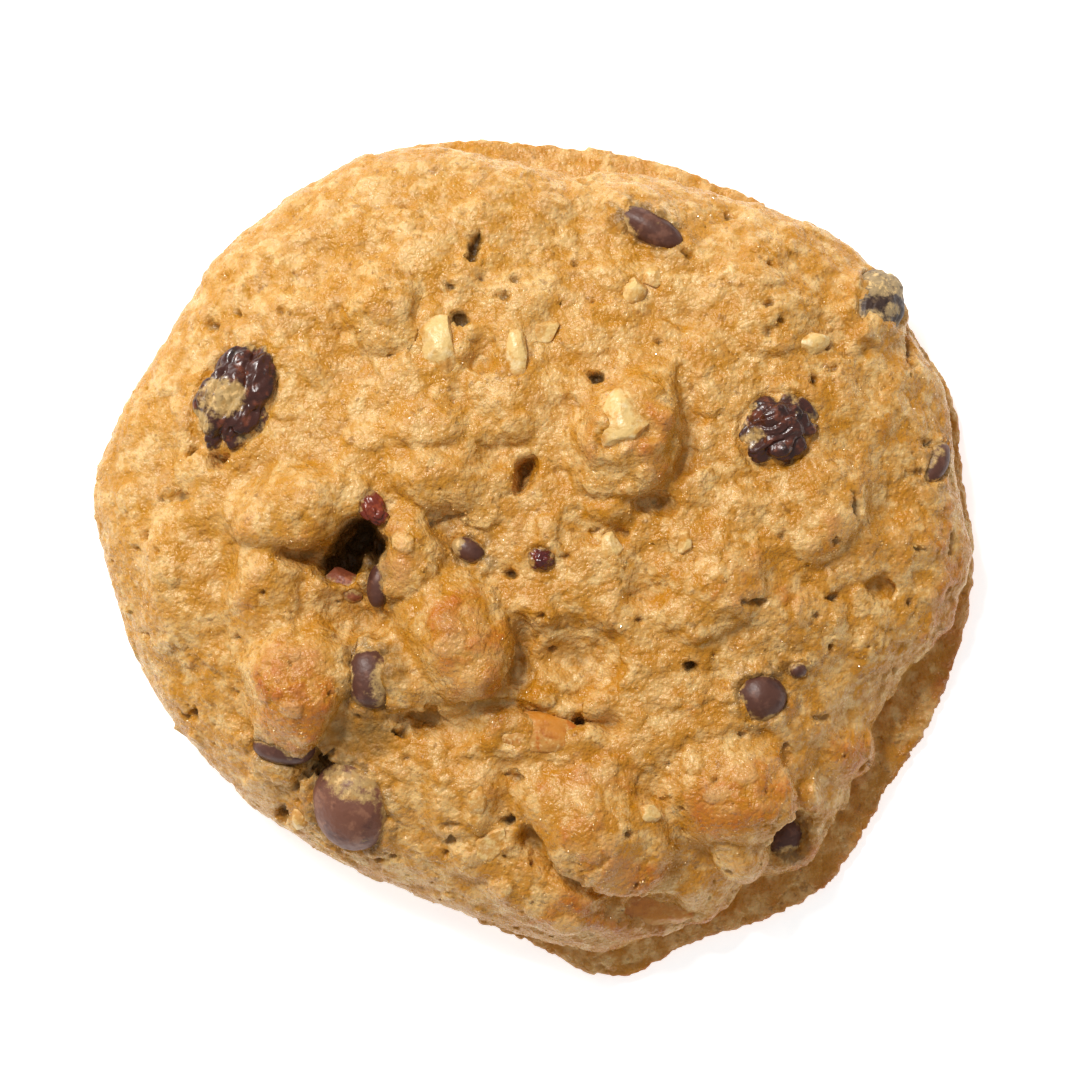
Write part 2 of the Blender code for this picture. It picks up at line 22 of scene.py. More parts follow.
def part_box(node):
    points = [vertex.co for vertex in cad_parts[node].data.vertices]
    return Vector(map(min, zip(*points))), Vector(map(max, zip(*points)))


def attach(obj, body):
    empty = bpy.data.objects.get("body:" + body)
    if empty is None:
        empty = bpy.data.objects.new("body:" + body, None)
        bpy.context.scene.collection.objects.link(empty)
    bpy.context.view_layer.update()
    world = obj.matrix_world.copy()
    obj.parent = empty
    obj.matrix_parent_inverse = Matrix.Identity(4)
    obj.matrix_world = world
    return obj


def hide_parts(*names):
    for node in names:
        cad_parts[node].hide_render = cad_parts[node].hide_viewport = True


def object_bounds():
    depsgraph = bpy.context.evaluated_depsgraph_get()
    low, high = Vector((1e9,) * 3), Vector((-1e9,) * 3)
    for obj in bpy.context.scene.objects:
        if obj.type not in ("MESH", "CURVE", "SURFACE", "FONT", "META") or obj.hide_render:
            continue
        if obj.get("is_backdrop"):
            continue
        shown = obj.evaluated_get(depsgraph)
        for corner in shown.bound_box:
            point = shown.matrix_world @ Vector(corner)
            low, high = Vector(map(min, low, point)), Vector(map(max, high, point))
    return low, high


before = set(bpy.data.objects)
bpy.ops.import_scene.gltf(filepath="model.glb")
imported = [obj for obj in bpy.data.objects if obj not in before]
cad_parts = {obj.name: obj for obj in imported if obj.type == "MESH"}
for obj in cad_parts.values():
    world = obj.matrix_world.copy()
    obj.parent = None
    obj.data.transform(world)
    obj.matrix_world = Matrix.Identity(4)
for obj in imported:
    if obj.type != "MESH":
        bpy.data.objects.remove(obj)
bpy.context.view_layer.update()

MM = 0.001

# %% [markdown]
# ## Helpers for meshes
#
# Every form here starts as a sphere from bmesh and is then moved point by point with numpy, which
# handles a few hundred thousand points at once. The helpers read and write those points, apply
# modifiers, and put a finished piece at the origin in metres.

# %% Helpers for meshes
def ball_mesh(name, detail):
    """A unit icosphere."""
    mesh = bpy.data.meshes.new(name)
    ball = bmesh.new()
    bmesh.ops.create_icosphere(ball, subdivisions=detail, radius=1.0)
    ball.to_mesh(mesh)
    ball.free()
    return mesh


def read_vectors(items, key):
    values = np.zeros(len(items) * 3)
    items.foreach_get(key, values)
    return values.reshape(-1, 3)


def read_points(mesh):
    return read_vectors(mesh.vertices, "co")


def read_normals(mesh):
    return read_vectors(mesh.vertex_normals, "vector")


def write_points(mesh, points):
    mesh.vertices.foreach_set("co", points.ravel())
    mesh.update()


def add_object(name, data):
    thing = bpy.data.objects.new(name, data)
    bpy.context.scene.collection.objects.link(thing)
    return thing


def apply_modifiers(piece):
    """Swaps the piece's mesh for the one its modifiers make."""
    graph = bpy.context.evaluated_depsgraph_get()
    made = bpy.data.meshes.new_from_object(piece.evaluated_get(graph))
    piece.modifiers.clear()
    old, piece.data = piece.data, made
    bpy.data.meshes.remove(old)


def triangles(mesh):
    return sum(len(face.vertices) - 2 for face in mesh.polygons)


def thin_to(piece, wanted):
    """Takes faces away where they are needed least."""
    modifier = piece.modifiers.new("thin", "DECIMATE")
    modifier.ratio = min(1.0, wanted / triangles(piece.data))
    apply_modifiers(piece)


def paint(mesh, name, values):
    """Keeps one number for each point, for a material to read."""
    layer = mesh.attributes.new(name, "FLOAT", "POINT")
    layer.data.foreach_set("value", np.asarray(values, np.float32))


def dress(piece, material, slot, *nodes):
    """A finished piece: in metres, smooth, on the cookie's body, in place of its solids."""
    piece.data.shade_smooth()
    piece.data.materials.append(material)
    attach(piece, "root")
    if nodes:
        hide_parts(*nodes)


# %% [markdown]
# ## Unevenness
#
# Nothing baked is smooth. Two random patterns make all of it: gradient noise, for swells and
# wandering edges, and a pattern of cells, for flakes and grains that lie tilted against each other.
# Both are worked out from seeded tables, so that the cookie is the same each time.

# %% Unevenness
SLOPES, DRAWS = 256, 4096     # the sizes of the two seeded tables, both powers of two


def swell(points, cell, seed):
    """Smooth random swells between about -1 and 1, one to each cell of space."""
    draw = np.random.RandomState(seed)
    slopes = draw.normal(size=(SLOPES, 3))
    slopes /= np.linalg.norm(slopes, axis=1)[:, None]
    order = draw.permutation(SLOPES)
    lattice = np.floor(points / cell).astype(int)
    inside = points / cell - lattice
    ease = inside ** 3 * (inside * (inside * 6 - 15) + 10)
    total = np.zeros(len(points))
    for corner in itertools.product((0, 1), repeat=3):
        key = np.zeros(len(points), int)
        weight = np.ones(len(points))
        for axis in range(3):
            key = order[(key + lattice[:, axis] + corner[axis]) & SLOPES - 1]
            weight *= ease[:, axis] if corner[axis] else 1 - ease[:, axis]
        total += weight * np.sum(slopes[key] * (inside - corner), axis=1)
    return total * 1.6


def cells(points, size, seed):
    """For each point: the gap to its cell's edge, the way to its middle, and the cell's draws."""
    table = np.random.RandomState(seed).rand(DRAWS, 5)
    grid = points / size
    lattice = np.floor(grid).astype(int)
    first, second = np.full(len(points), 9.0), np.full(len(points), 9.0)
    owner, toward = np.zeros(len(points), int), np.zeros((len(points), 3))
    for step in itertools.product((-1, 0, 1), repeat=3):
        home = lattice + step
        key = (home[:, 0] * 73856093 ^ home[:, 1] * 19349663 ^ home[:, 2] * 83492791) & DRAWS - 1
        away = home + 0.1 + 0.8 * table[key, :3] - grid
        far = np.sqrt(np.sum(away ** 2, axis=1))
        nearer = far < first
        second = np.where(nearer, first, np.minimum(second, far))
        first = np.minimum(first, far)
        owner[nearer] = key[nearer]
        toward[nearer] = away[nearer]
    return second - first, toward, table[owner]


def ramp(values, low, high):
    """0 below low, 1 above high, with soft ends."""
    share = np.clip((values - low) / (high - low), 0, 1)
    return share * share * (3 - 2 * share)


# %% [markdown]
# ## The cookie's main form
#
# These are the same values as the solids have. The outline and the foot are given by bearing, and
# each lobe and hollow by its place, size and turn. A lobe has one crisp side, its lip, where the
# dough slumped over, and fades out gently on the other.

# %% The cookie's main form
THICKNESS = 18.5
EDGE_HEIGHT = 5.0
FOOT_HEIGHT = 2.6
SHOULDER = 2.7
TUCK = 1.3

OUTLINE = [(0, 48.6), (12, 48.4), (22, 50.2), (31, 48.4), (41, 49.3), (62, 46.3), (88, 45.8),
           (108, 47.7), (130, 48.0), (150, 47.0), (170, 49.1), (190, 45.4), (210, 42.7), (230, 40.1),
           (248, 38.8), (260, 40.3), (270, 42.9), (281, 48.3), (293, 45.9), (310, 49.2), (326, 46.9),
           (350, 48.6)]
FOOT = [(0, 0.6), (18, 1.6), (30, 0.4), (50, 0.2), (64, 1.8), (78, 2.3), (84, 4.0), (90, 3.2),
        (102, 0.9), (112, 0.0), (255, 0.0), (270, 1.1), (282, 4.2), (294, 1.9), (305, 4.9), (318, 3.7),
        (337, 6.4), (350, 1.8)]

# x, y, half length, half width, turn, rise, bearing of the crisp lip
LOBES = [
    (-17.0, 27.5, 5.8, 4.4, 80, 2.4, -40),      # dough over a whole nut
    (9.6, 13.6, 7.4, 6.4, 60, 3.8, -80),        # the nut cluster
    (-25.8, 5.6, 8.2, 4.4, 10, 3.8, -80),        # brow over the hollow
    (-29.5, -3.5, 7.0, 4.8, 80, 2.4, -10),      # cheek left of the hollow
    (-26.2, -13.2, 7.0, 6.0, 80, 5.6, -50),     # knob low on the left
    (-8.8, -7.6, 8.2, 6.0, -62, 4.6, -45),      # browned lobe right of the hollow
    (-13.2, 0.5, 6.5, 3.0, 96, 2.8, -10),       # its neck
    (20.4, -25.4, 7.2, 6.2, 25, 5.0, -25),      # knob low on the right
    (21.8, -31.0, 3.8, 3.2, -10, 3.2, -70),     # its chin
    (6.6, -28.6, 9.4, 6.2, -28, 3.8, -95),     # long lip between the knobs
    (1.5, -37.3, 7.0, 3.6, -5, 1.8, -90),       # lower ledge
    (34.0, -21.5, 3.6, 2.6, 60, 2.0, -60),
    (30.0, -26.0, 2.2, 1.8, 0, 1.2, -90),
    (11.5, 38.4, 5.6, 3.2, -14, 2.2, -100),     # brow over the top chip
    (-27.2, -22.6, 3.6, 1.8, 0, 1.8, -90),      # shelf under the knob
    (-13.6, -13.4, 3.4, 3.2, 0, 1.8, -60),
    (8.2, 5.0, 3.2, 2.2, 0, 1.8, -90),
    (-11.0, 8.4, 5.6, 3.2, -20, 2.0, -110),
    (-11.2, 15.0, 4.2, 3.0, 0, 1.6, -80),
    (19.5, -3.0, 7.0, 4.6, 35, 1.9, -70),
    (30.5, 6.0, 7.0, 5.5, 60, 1.6, -60),
    (-34.0, 30.0, 6.5, 5.0, 40, 1.0, 130),
    (-2.0, 38.0, 6.0, 4.0, 0, 0.9, 90),
    (24.0, 27.0, 6.0, 4.5, -30, 1.8, -60),
    (37.0, 27.5, 4.6, 4.4, 0, 1.4, -80),        # dough over a buried raisin
    (-8.0, -25.5, 5.5, 4.5, 20, 1.8, -70),
    (-38.0, -3.0, 5.0, 6.0, 0, 0.8, 180),
]
LOBE_LEAN = 0.28
CRISP, GENTLE = 0.38, 1.5

# x, y, half length, half width, turn, depth, crispness
HOLLOWS = [
    (-19.6, 1.9, 3.9, 2.3, 38, 9.0, 0.5),        # the deep hollow
    (-20.8, -0.6, 2.7, 1.7, 0, 8.0, 0.5),
    (-17.2, 0.4, 1.7, 2.6, 0, 8.0, 0.5),
    (-24.6, 0.2, 3.2, 1.0, 0, 3.5, 0.6),        # its left tip
    (-19.2, -6.0, 4.6, 4.4, 0, 3.2, 1.0),       # its sandy floor
    (4.0, -11.0, 6.8, 5.0, 0, 2.8, 1.1),        # hollow in the middle
    (-1.0, -10.8, 1.9, 4.6, 0, 2.6, 0.6),
    (-10.5, -17.6, 6.5, 2.4, -6, 2.2, 0.9),
    (-23.6, -22.4, 2.8, 1.7, -45, 3.4, 0.6),    # behind the large chip
    (-1.0, 8.6, 1.1, 2.0, -20, 4.5, 0.5),
    (-3.6, 11.2, 3.4, 2.8, 0, 1.4, 1.0),
    (27.6, -30.2, 2.8, 3.6, 0, 5.0, 0.6),       # under the right knob
    (11.7, -2.9, 2.8, 2.4, 0, 1.3, 0.8),
    (37.2, -3.0, 1.7, 1.4, 0, 1.8, 0.6),
    (-5.6, 22.0, 1.9, 2.5, 0, 1.2, 0.8),
    (13.0, 6.0, 2.8, 1.7, 0, 2.2, 0.7),
    (12.0, -38.6, 6.5, 2.2, -8, 3.0, 0.7),      # under the long lip
    (-34.3, 10.2, 1.3, 1.1, 0, 3.0, 0.6),
]

# half width, depth, and the points a groove runs through
GROOVES = [
    (1.3, 1.9, [(-6.0, -16.2), (2.0, -17.2), (5.0, -17.5), (8.7, -18.6)]),
    (1.5, 1.4, [(16.2, 10.0), (17.0, 15.0), (16.2, 20.0)]),
    (1.0, 0.9, [(-21.5, 27.0), (-20.5, 24.5)]),
    (1.2, 1.2, [(41.8, -13.6), (43.6, -11.0), (44.8, -7.0), (46.2, -4.0)]),
    (1.0, 0.8, [(24.0, -23.2), (26.8, -21.4)]),
    (1.3, 2.2, [(-0.5, -29.8), (2.5, -33.2), (7.5, -35.6), (10.0, -36.0)]),
]
SWELLS = [(17.0, 1.0, 3), (7.5, 0.9, 5), (3.6, 0.6, 7)]     # cell, height, seed
WANDER = [(6.0, 0.9, 11), (2.4, 0.35, 13)]
TOP_SHARE, SIDE_SHARE = 0.64, 0.16     # of the sphere's height that becomes the dome, and the side
SOFTENED = 13                          # half degrees to each side over which the outline is smoothed
print("lobes:", len(LOBES), "hollows:", len(HOLLOWS), "grooves:", len(GROOVES))

# %% [markdown]
# ## From values to relief
#
# The plain skin is a sphere whose points are moved to a dome, a side and an underside. Where two
# lobes meet the higher one wins, as where two spoonfuls of dough lie against each other, and every
# edge wanders a little, so that no lobe is a clean oval.

# %% From values to relief
def around(table, bearing):
    """A smooth closed curve through a table of bearings and values."""
    steps = np.arange(0, 360, 0.5)
    marks, values = zip(*table)
    ring = np.interp(steps, marks, values, period=360)
    window = np.hanning(2 * SOFTENED + 1)
    padded = np.concatenate([ring[-SOFTENED:], ring, ring[:SOFTENED]])
    smooth = np.convolve(padded, window / window.sum(), mode="valid")
    return np.interp(bearing, steps, smooth, period=360)


def cookie_skin(sphere):
    """Each point of a unit sphere, moved to the plain cookie's skin, and how far down the side it is."""
    bearing = np.degrees(np.arctan2(sphere[:, 1], sphere[:, 0])) % 360
    share = (1 - sphere[:, 2]) / 2
    rim = around(OUTLINE, bearing)
    dome = rim - around(FOOT, bearing)
    across = np.sqrt(np.clip(share / TOP_SHARE, 0, 1))
    down = np.clip((share - TOP_SHARE) / SIDE_SHARE, 0, 1)
    under = np.sqrt(np.clip((1 - share) / (1 - TOP_SHARE - SIDE_SHARE), 0, 1))
    top_z = EDGE_HEIGHT + (THICKNESS - EDGE_HEIGHT) * np.sqrt(1 - across ** SHOULDER)
    side_z = np.interp(down, [0, 0.45, 0.8, 1], [EDGE_HEIGHT, FOOT_HEIGHT, 0.6 * FOOT_HEIGHT, 0])
    side_r = dome + (rim - dome) * np.interp(down, [0, 0.4, 0.8, 1], [0, 0.05, 1, 1])
    notch = 0.3 + 0.9 * np.clip((rim - dome) / 3, 0, 1)
    side_r -= notch * np.interp(down, [0, 0.25, 0.45, 0.6], [0, 1, 0.5, 0])
    side_r -= np.interp(down, [0.6, 0.8, 1], [0, 0.1, TUCK])
    radius = np.where(down <= 0, dome * across, np.where(down < 1, side_r, (rim - TUCK) * under))
    height = np.where(down <= 0, top_z, np.where(down < 1, side_z, 0))
    turn = np.radians(bearing)
    return np.stack([radius * np.cos(turn), radius * np.sin(turn), height], axis=1), down


def oval(x, y, spot):
    """How far each point is from the middle of a turned oval, squared, as a share of its reach."""
    centre_x, centre_y, half_length, half_width, turn = spot[:5]
    c, s = math.cos(math.radians(turn)), math.sin(math.radians(turn))
    u, v = x - centre_x, y - centre_y
    reach = ((u * c + v * s) / half_length) ** 2 + ((v * c - u * s) / half_width) ** 2
    return reach, np.arctan2(v, u)


def along_line(x, y, line):
    """Distance from each point to a line of straight runs."""
    nearest = np.full(len(x), 1e9)
    for (ax, ay), (bx, by) in zip(line, line[1:]):
        run = (bx - ax) ** 2 + (by - ay) ** 2
        share = np.clip(((x - ax) * (bx - ax) + (y - ay) * (by - ay)) / run, 0, 1)
        nearest = np.minimum(nearest, np.hypot(x - ax - share * (bx - ax), y - ay - share * (by - ay)))
    return nearest


def wander(points):
    """Plan positions that wander, so that no edge drawn with them is a clean oval."""
    flat = points * [1, 1, 0]
    x, y = points[:, 0].copy(), points[:, 1].copy()
    for cell, reach, seed in WANDER:
        x += reach * swell(flat, cell, seed)
        y += reach * swell(flat, cell, seed + 100)
    return x, y


def main_relief(points):
    """How far the dough stands out at each point, and how far it leans over a crisp lip."""
    x, y = wander(points)
    rise, lean = np.zeros(len(points)), np.zeros((len(points), 3))
    for spot in LOBES:
        reach, bearing = oval(x, y, spot)
        lip = math.radians(spot[6])
        facing = 0.5 + 0.5 * np.cos(bearing - lip)
        bump = spot[5] * np.clip(1 - reach, 0, 1) ** (GENTLE + (CRISP - GENTLE) * facing)
        higher = bump > rise
        rise = np.where(higher, bump, rise)
        push = LOBE_LEAN * bump * facing
        lean[higher] = np.stack([push * math.cos(lip), push * math.sin(lip), 0 * push], axis=1)[higher]
    dip = np.zeros(len(points))
    for spot in HOLLOWS:
        reach, _ = oval(x, y, spot)
        dip = np.maximum(dip, spot[5] * np.clip(1 - reach, 0, 1) ** spot[6])
    for half_width, depth, line in GROOVES:
        near = np.clip(along_line(x, y, line) / half_width, 0, 1)
        dip = np.maximum(dip, depth * (1 - near ** 2))
    uneven = sum(height * swell(points, cell, seed) for cell, height, seed in SWELLS)
    return rise - dip + uneven, lean, rise, dip


print("the outline lies", around(OUTLINE, np.arange(0, 360, 90)).round(1), "mm from the middle")

# %% [markdown]
# ## The dough as one skin
#
# The sphere becomes the plain domed skin, the relief is added along its normals, and a voxel
# remesh turns the stretched result into even faces, so that the finer crumb has points to move.

# %% The dough as one skin
SKIN_DETAIL = 7
VOXEL = 0.34
SIDE_FADE = 1.15                     # the relief is gone before the bottom of the side
CALM_FROM, CALM_BAND = 0.86, 0.14    # near the edge, as shares of the outline
CALMED = 0.75

mesh = ball_mesh("dough_crust", SKIN_DETAIL)
skin, down = cookie_skin(read_points(mesh))
write_points(mesh, skin)
out, lean, _, _ = main_relief(skin)
kept = np.clip(1 - down * SIDE_FADE, 0, 1)[:, None]
bearing = np.degrees(np.arctan2(skin[:, 1], skin[:, 0])) % 360
edge = np.hypot(skin[:, 0], skin[:, 1]) / around(OUTLINE, bearing)
calm = 1 - CALMED * np.clip((edge - CALM_FROM) / CALM_BAND, 0, 1)[:, None]
write_points(mesh, skin + (read_normals(mesh) * out[:, None] + lean) * kept * calm)
dough = add_object("dough_crust", mesh)
remesh = dough.modifiers.new("even_faces", "REMESH")
remesh.mode = "VOXEL"
remesh.voxel_size = VOXEL
relax = dough.modifiers.new("relax", "SMOOTH")
relax.factor = 0.5
relax.iterations = 3
apply_modifiers(dough)
print("dough after the remesh:", triangles(dough.data), "triangles")

# %% [markdown]
# ## Where the pieces sit
#
# The raisins, chips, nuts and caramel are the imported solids' neighbours, so their places come from
# the same values. Each has its half sizes, a turn in plan and a tip, and stands square to the plain
# dome under it. The dough needs them first, because it closes up to each of them with a fine crease.

# %% Where the pieces sit
# name, x, y, half sizes, turn, tip
RAISINS = [
    ("raisin_left", -32.3, 16.5, (6.4, 4.6, 3.6), 68, 0),
    ("raisin_right", 26.0, 13.8, (4.6, 3.9, 3.2), 35, 0),
    ("raisin_buried", 36.6, 26.9, (4.8, 3.4, 2.8), 62, 0),
    ("cherry_dot", 0.65, -0.1, (1.5, 1.4, 1.3), 0, 0),
    ("fruit_skin", -17.4, 5.4, (2.4, 1.5, 1.0), 130, 18),
]
CHIPS = [
    ("chip_top", 12.4, 35.5, (4.0, 1.8, 1.9), -31, 14),
    ("chip_rim", 43.2, 10.2, (2.6, 1.4, 1.6), 60, 30),
    ("chip_round", 24.2, -15.0, (2.8, 2.6, 2.4), 0, 0),
    ("chip_tiny", 28.1, -12.1, (1.0, 0.9, 0.9), 0, 0),
    ("chip_knob", 26.9, -30.4, (3.0, 2.7, 2.5), 60, 0),
    ("chip_big", -19.8, -26.8, (5.2, 4.3, 3.5), 104, -8),
    ("chip_shelf", -27.0, -20.5, (3.5, 1.8, 1.9), -5, 0),
    ("chip_mid", -17.6, -12.9, (3.3, 2.6, 2.4), 100, 0),
    ("chip_hollow", -16.7, -3.0, (2.4, 1.3, 1.6), 85, 0),
    ("chip_neck", -7.2, 0.8, (1.9, 1.3, 1.2), -25, 0),
]
NUTS = [
    ("nut_pale", -10.4, 22.0, (3.6, 2.7, 1.9), 78, 0),
    ("nut_cluster", 10.0, 14.4, (4.0, 3.1, 2.4), 62, 0),
    ("nut_sliver", -5.4, -31.4, (3.2, 1.4, 1.1), 45, 0),
    ("pecan_bit", -20.6, -2.9, (2.2, 1.5, 1.2), -30, 0),
]
NUT_BITS = [
    (-1.9, 21.6, (2.5, 1.3, 1.1), 95), (1.1, 24.2, (1.6, 1.3, 1.0), 20), (10.5, 28.6, (1.6, 1.3, 1.0), 60),
    (13.1, 30.0, (1.6, 1.3, 1.0), 10), (29.7, 23.0, (1.9, 1.2, 0.9), 20), (12.0, -27.5, (1.5, 1.0, 0.8), 15),
    (-6.2, -26.0, (1.7, 1.0, 0.8), 85), (16.0, 1.6, (1.4, 1.0, 0.8), 75), (8.0, 1.0, (1.8, 1.3, 0.9), 70),
    (-25.5, -28.5, (1.6, 1.1, 0.9), 75),
]
NUTS += [(f"nut_bit_{number}", *bit, 0) for number, bit in enumerate(NUT_BITS, 1)]
CARAMELS = [
    ("caramel_slab", 0.2, -18.7, (4.6, 2.2, 1.1), -6, -14),
    ("caramel_lip", 11.6, -37.7, (6.2, 2.5, 1.5), -10, -8),
]
UP_SHARE = 0.3            # how far a piece leans back to level from the slope of the dome


def dome_way_up(x, y):
    """The way up from the plain dome at a place on the plan."""
    bearing = math.atan2(y, x)
    degrees = math.degrees(bearing) % 360
    dome = float(around(OUTLINE, degrees) - around(FOOT, degrees))
    across = min(math.hypot(x, y) / dome, 0.97)
    drop = SHOULDER / 2 * across ** (SHOULDER - 1) / math.sqrt(1 - across ** SHOULDER)
    steep = (THICKNESS - EDGE_HEIGHT) * drop / dome
    return Vector((steep * math.cos(bearing), steep * math.sin(bearing), 1)).normalized()


def seat(spot):
    """The turn that stands a piece on the dome."""
    _, x, y, _, turn, tip = spot
    level = Vector((0, 0, 1))
    stand = level.rotation_difference(dome_way_up(x, y).lerp(level, UP_SHARE)).to_matrix()
    turned = stand @ Matrix.Rotation(math.radians(turn), 3, "Z")
    return turned @ Matrix.Rotation(math.radians(tip), 3, "X")


dough_low, dough_high = (np.array(corner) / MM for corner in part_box("dough"))
raw = read_points(dough.data)
PLAN_SHIFT = ((dough_low + dough_high) / 2 - (raw.min(0) + raw.max(0)) / 2) * [1, 1, 0]


def middle_of(node):
    """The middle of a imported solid, in the plan values' own frame."""
    low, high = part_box(node)
    return np.array((low + high) / 2) / MM - PLAN_SHIFT


print("the plan's middle lies", PLAN_SHIFT.round(2), "mm from the frame's")

# %% [markdown]
# ## Crumb, flakes and pores
#
# Close up, the crust is a pavement of rolled oats and grains under a thin glaze of sugar and fat.
# Cells of three sizes lie against each other for the flakes and grains, pores are small round
# holes where steam came out, and cracks follow lines. These are their places and sizes.

# %% Crumb, flakes and pores
# x, y, half length, half width, turn, depth
PORES = [
    (-9.0, 29.2, 0.6, 0.5, 0, 1.2), (-8.0, 25.8, 1.1, 0.9, 0, 1.8), (-6.4, 33.6, 1.9, 0.7, 70, 1.8),
    (6.5, 19.6, 1.0, 0.7, 0, 1.8), (-3.3, 28.2, 1.0, 0.6, 0, 1.0), (-35.0, 25.2, 0.8, 0.6, 20, 1.0),
    (-32.2, 26.6, 0.6, 0.4, 0, 1.0), (32.3, 20.3, 0.7, 0.4, 0, 0.9), (30.2, 19.1, 0.6, 0.5, 0, 1.1),
    (-2.5, -1.8, 0.9, 0.7, 0, 1.3), (32.5, 1.7, 0.5, 0.3, 0, 0.8), (32.3, -4.2, 0.9, 0.4, 0, 1.1),
    (-37.2, -17.0, 0.8, 0.5, 80, 1.1), (-27.5, -28.0, 1.1, 0.6, 80, 1.2), (-14.3, -18.7, 1.0, 0.5, 0, 1.4),
    (-2.0, -23.6, 1.0, 0.6, 0, 0.9), (-2.7, -28.3, 1.0, 0.7, 0, 1.5), (-0.2, -33.0, 0.4, 0.4, 0, 0.8),
    (17.0, -11.7, 0.9, 0.7, 0, 1.6), (4.9, -17.8, 0.9, 0.6, 0, 1.6), (-36.9, 11.3, 0.9, 0.4, 60, 1.2),
    (5.5, 40.8, 0.8, 0.5, 0, 0.8),
]
# the small ones come in a few sizes: half length, half width, turn and depth, then their places
SMALL_PORES = {
    (0.6, 0.5, 0, 1.0): [(-2.0, 30.0), (4.4, 32.0), (21.2, 37.4), (25.4, 27.4)],
    (0.6, 0.5, 0, 0.9): [(25.3, 24.2), (40.7, -5.0)],
    (0.6, 0.4, 0, 0.9): [(-14.3, 38.3), (-7.8, 37.6), (26.7, 25.5), (42.8, 12.5), (-43.5, 1.0), (-32.0, -8.8),
                         (-9.0, -30.5), (11.3, -6.7)],
    (0.5, 0.4, 0, 0.9): [(-27.3, 26.6), (25.6, 31.8), (26.6, 2.1), (42.0, 0.8), (-13.9, -21.7), (10.1, -29.7),
                         (0.8, -6.2), (22.3, -19.1), (19.5, -23.7), (36.6, -22.6)],
    (0.5, 0.4, 0, 0.8): [(3.4, 0.1), (-42.3, 2.3), (-42.4, -8.5), (-9.5, -32.0)],
}
PORES += [place + form for form, places in SMALL_PORES.items() for place in places]
# half width, depth, points
CRACKS = [
    (0.5, 0.9, [(22.3, -4.9), (24.7, -4.8)]), (0.45, 0.8, [(-40.0, 6.0), (-37.5, 6.8)]),
    (0.5, 0.9, [(-32.7, 24.2), (-32.9, 22.8)]), (0.5, 1.0, [(34.6, 6.5), (34.7, 4.5)]),
    (0.5, 0.9, [(38.7, -3.0), (38.9, -4.4)]), (0.5, 0.9, [(30.3, -17.4), (32.1, -17.7)]),
    (0.45, 0.8, [(-10.0, -29.0), (-8.4, -28.8)]), (0.5, 0.9, [(40.8, 25.0), (41.0, 22.0), (41.6, 21.0)]),
    (0.5, 1.0, [(16.0, 33.2), (16.7, 32.4)]), (0.45, 0.7, [(40.4, 9.1), (41.8, 9.1)]),
    (0.5, 0.8, [(45.6, 2.4), (45.8, 0.8)]), (0.6, 1.0, [(-22.0, -20.9), (-24.5, -23.3), (-26.2, -24.9)]),
    (0.5, 0.8, [(-11.0, 3.6), (-7.5, 4.8)]), (0.5, 0.8, [(6.4, 2.7), (10.0, 2.7)]),
]
SCATTERED_PORES = 380
BARE_BELOW = 3                                 # scattered pores and flakes lie above this height
DEEPER = 2.1                                   # how deep a scattered pore is, in its own radii
CREASE = {"raisin": 0.6, "nut": 0.1, "caramel": 0.0}     # depth of the crease round a piece
USUAL_CREASE = 0.4
GOLDEN_TURN = math.radians(137.508)
FLAKES, SMALL_FLAKES = 34, 230
FLAKE_SIZE, SMALL_FLAKE_SIZE = (3.0, 2.2), (0.9, 2.3)
FLAKES_REACH, SMALL_FLAKES_REACH = 40, 46      # from the middle
# mm that the dough rises round a piece: for these, and at most for the others
COLLAR = {"nut_pale": 1.1, "nut_cluster": 1.9, "caramel_slab": 1.0, "caramel_lip": 0.8,
          "raisin_left": 0.8, "raisin_right": 0.7, "raisin_buried": 1.2, "chip_big": 0.8,
          "chip_rim": 1.0, "fruit_skin": 0.5}
MOST_COLLAR = 1.2
print("pores:", len(PORES), "and", SCATTERED_PORES, "scattered, cracks:", len(CRACKS))

# %% [markdown]
# ## How the crumb is laid
#
# Each layer is a function that gives a height for every point of the skin, so that layers can be
# added up. A noise texture alone would have no flakes in it, and sculpting by hand would take far
# longer.

# %% How the crumb is laid
def look_up(table, name, usual=None):
    """What a table says of a piece, by its whole name, or else by the first word of it."""
    return table.get(name, table.get(name.split("_")[0], usual))


def point_tree(points):
    """A tree that finds the points near a place."""
    tree = KDTree(len(points))
    for index, point in enumerate(points):
        tree.insert(point, index)
    tree.balance()
    return tree


def flaky(points, size, tilt, step, crease, seed):
    """A pavement of tilted cells with creases between them."""
    gap, toward, draws = cells(points, size, seed)
    slope = np.sum(toward * (draws[:, :3] - 0.5), axis=1) * 2 * tilt
    return slope + step * (draws[:, 3] - 0.5) - crease * (1 - np.clip(gap / 0.22, 0, 1)) ** 2


def pebbly(points, size, height, seed):
    """Round grains packed together: their relief, how pale each is, and their creases."""
    gap, _, draws = cells(points, size, seed)
    relief = height * (np.sqrt(np.clip(gap / 0.55, 0, 1)) - 0.7) * (0.35 + 0.9 * draws[:, 3])
    return relief, ramp(draws[:, 4], 0.45, 0.95) * ramp(gap, 0.05, 0.4), 1 - ramp(gap, 0.0, 0.25)


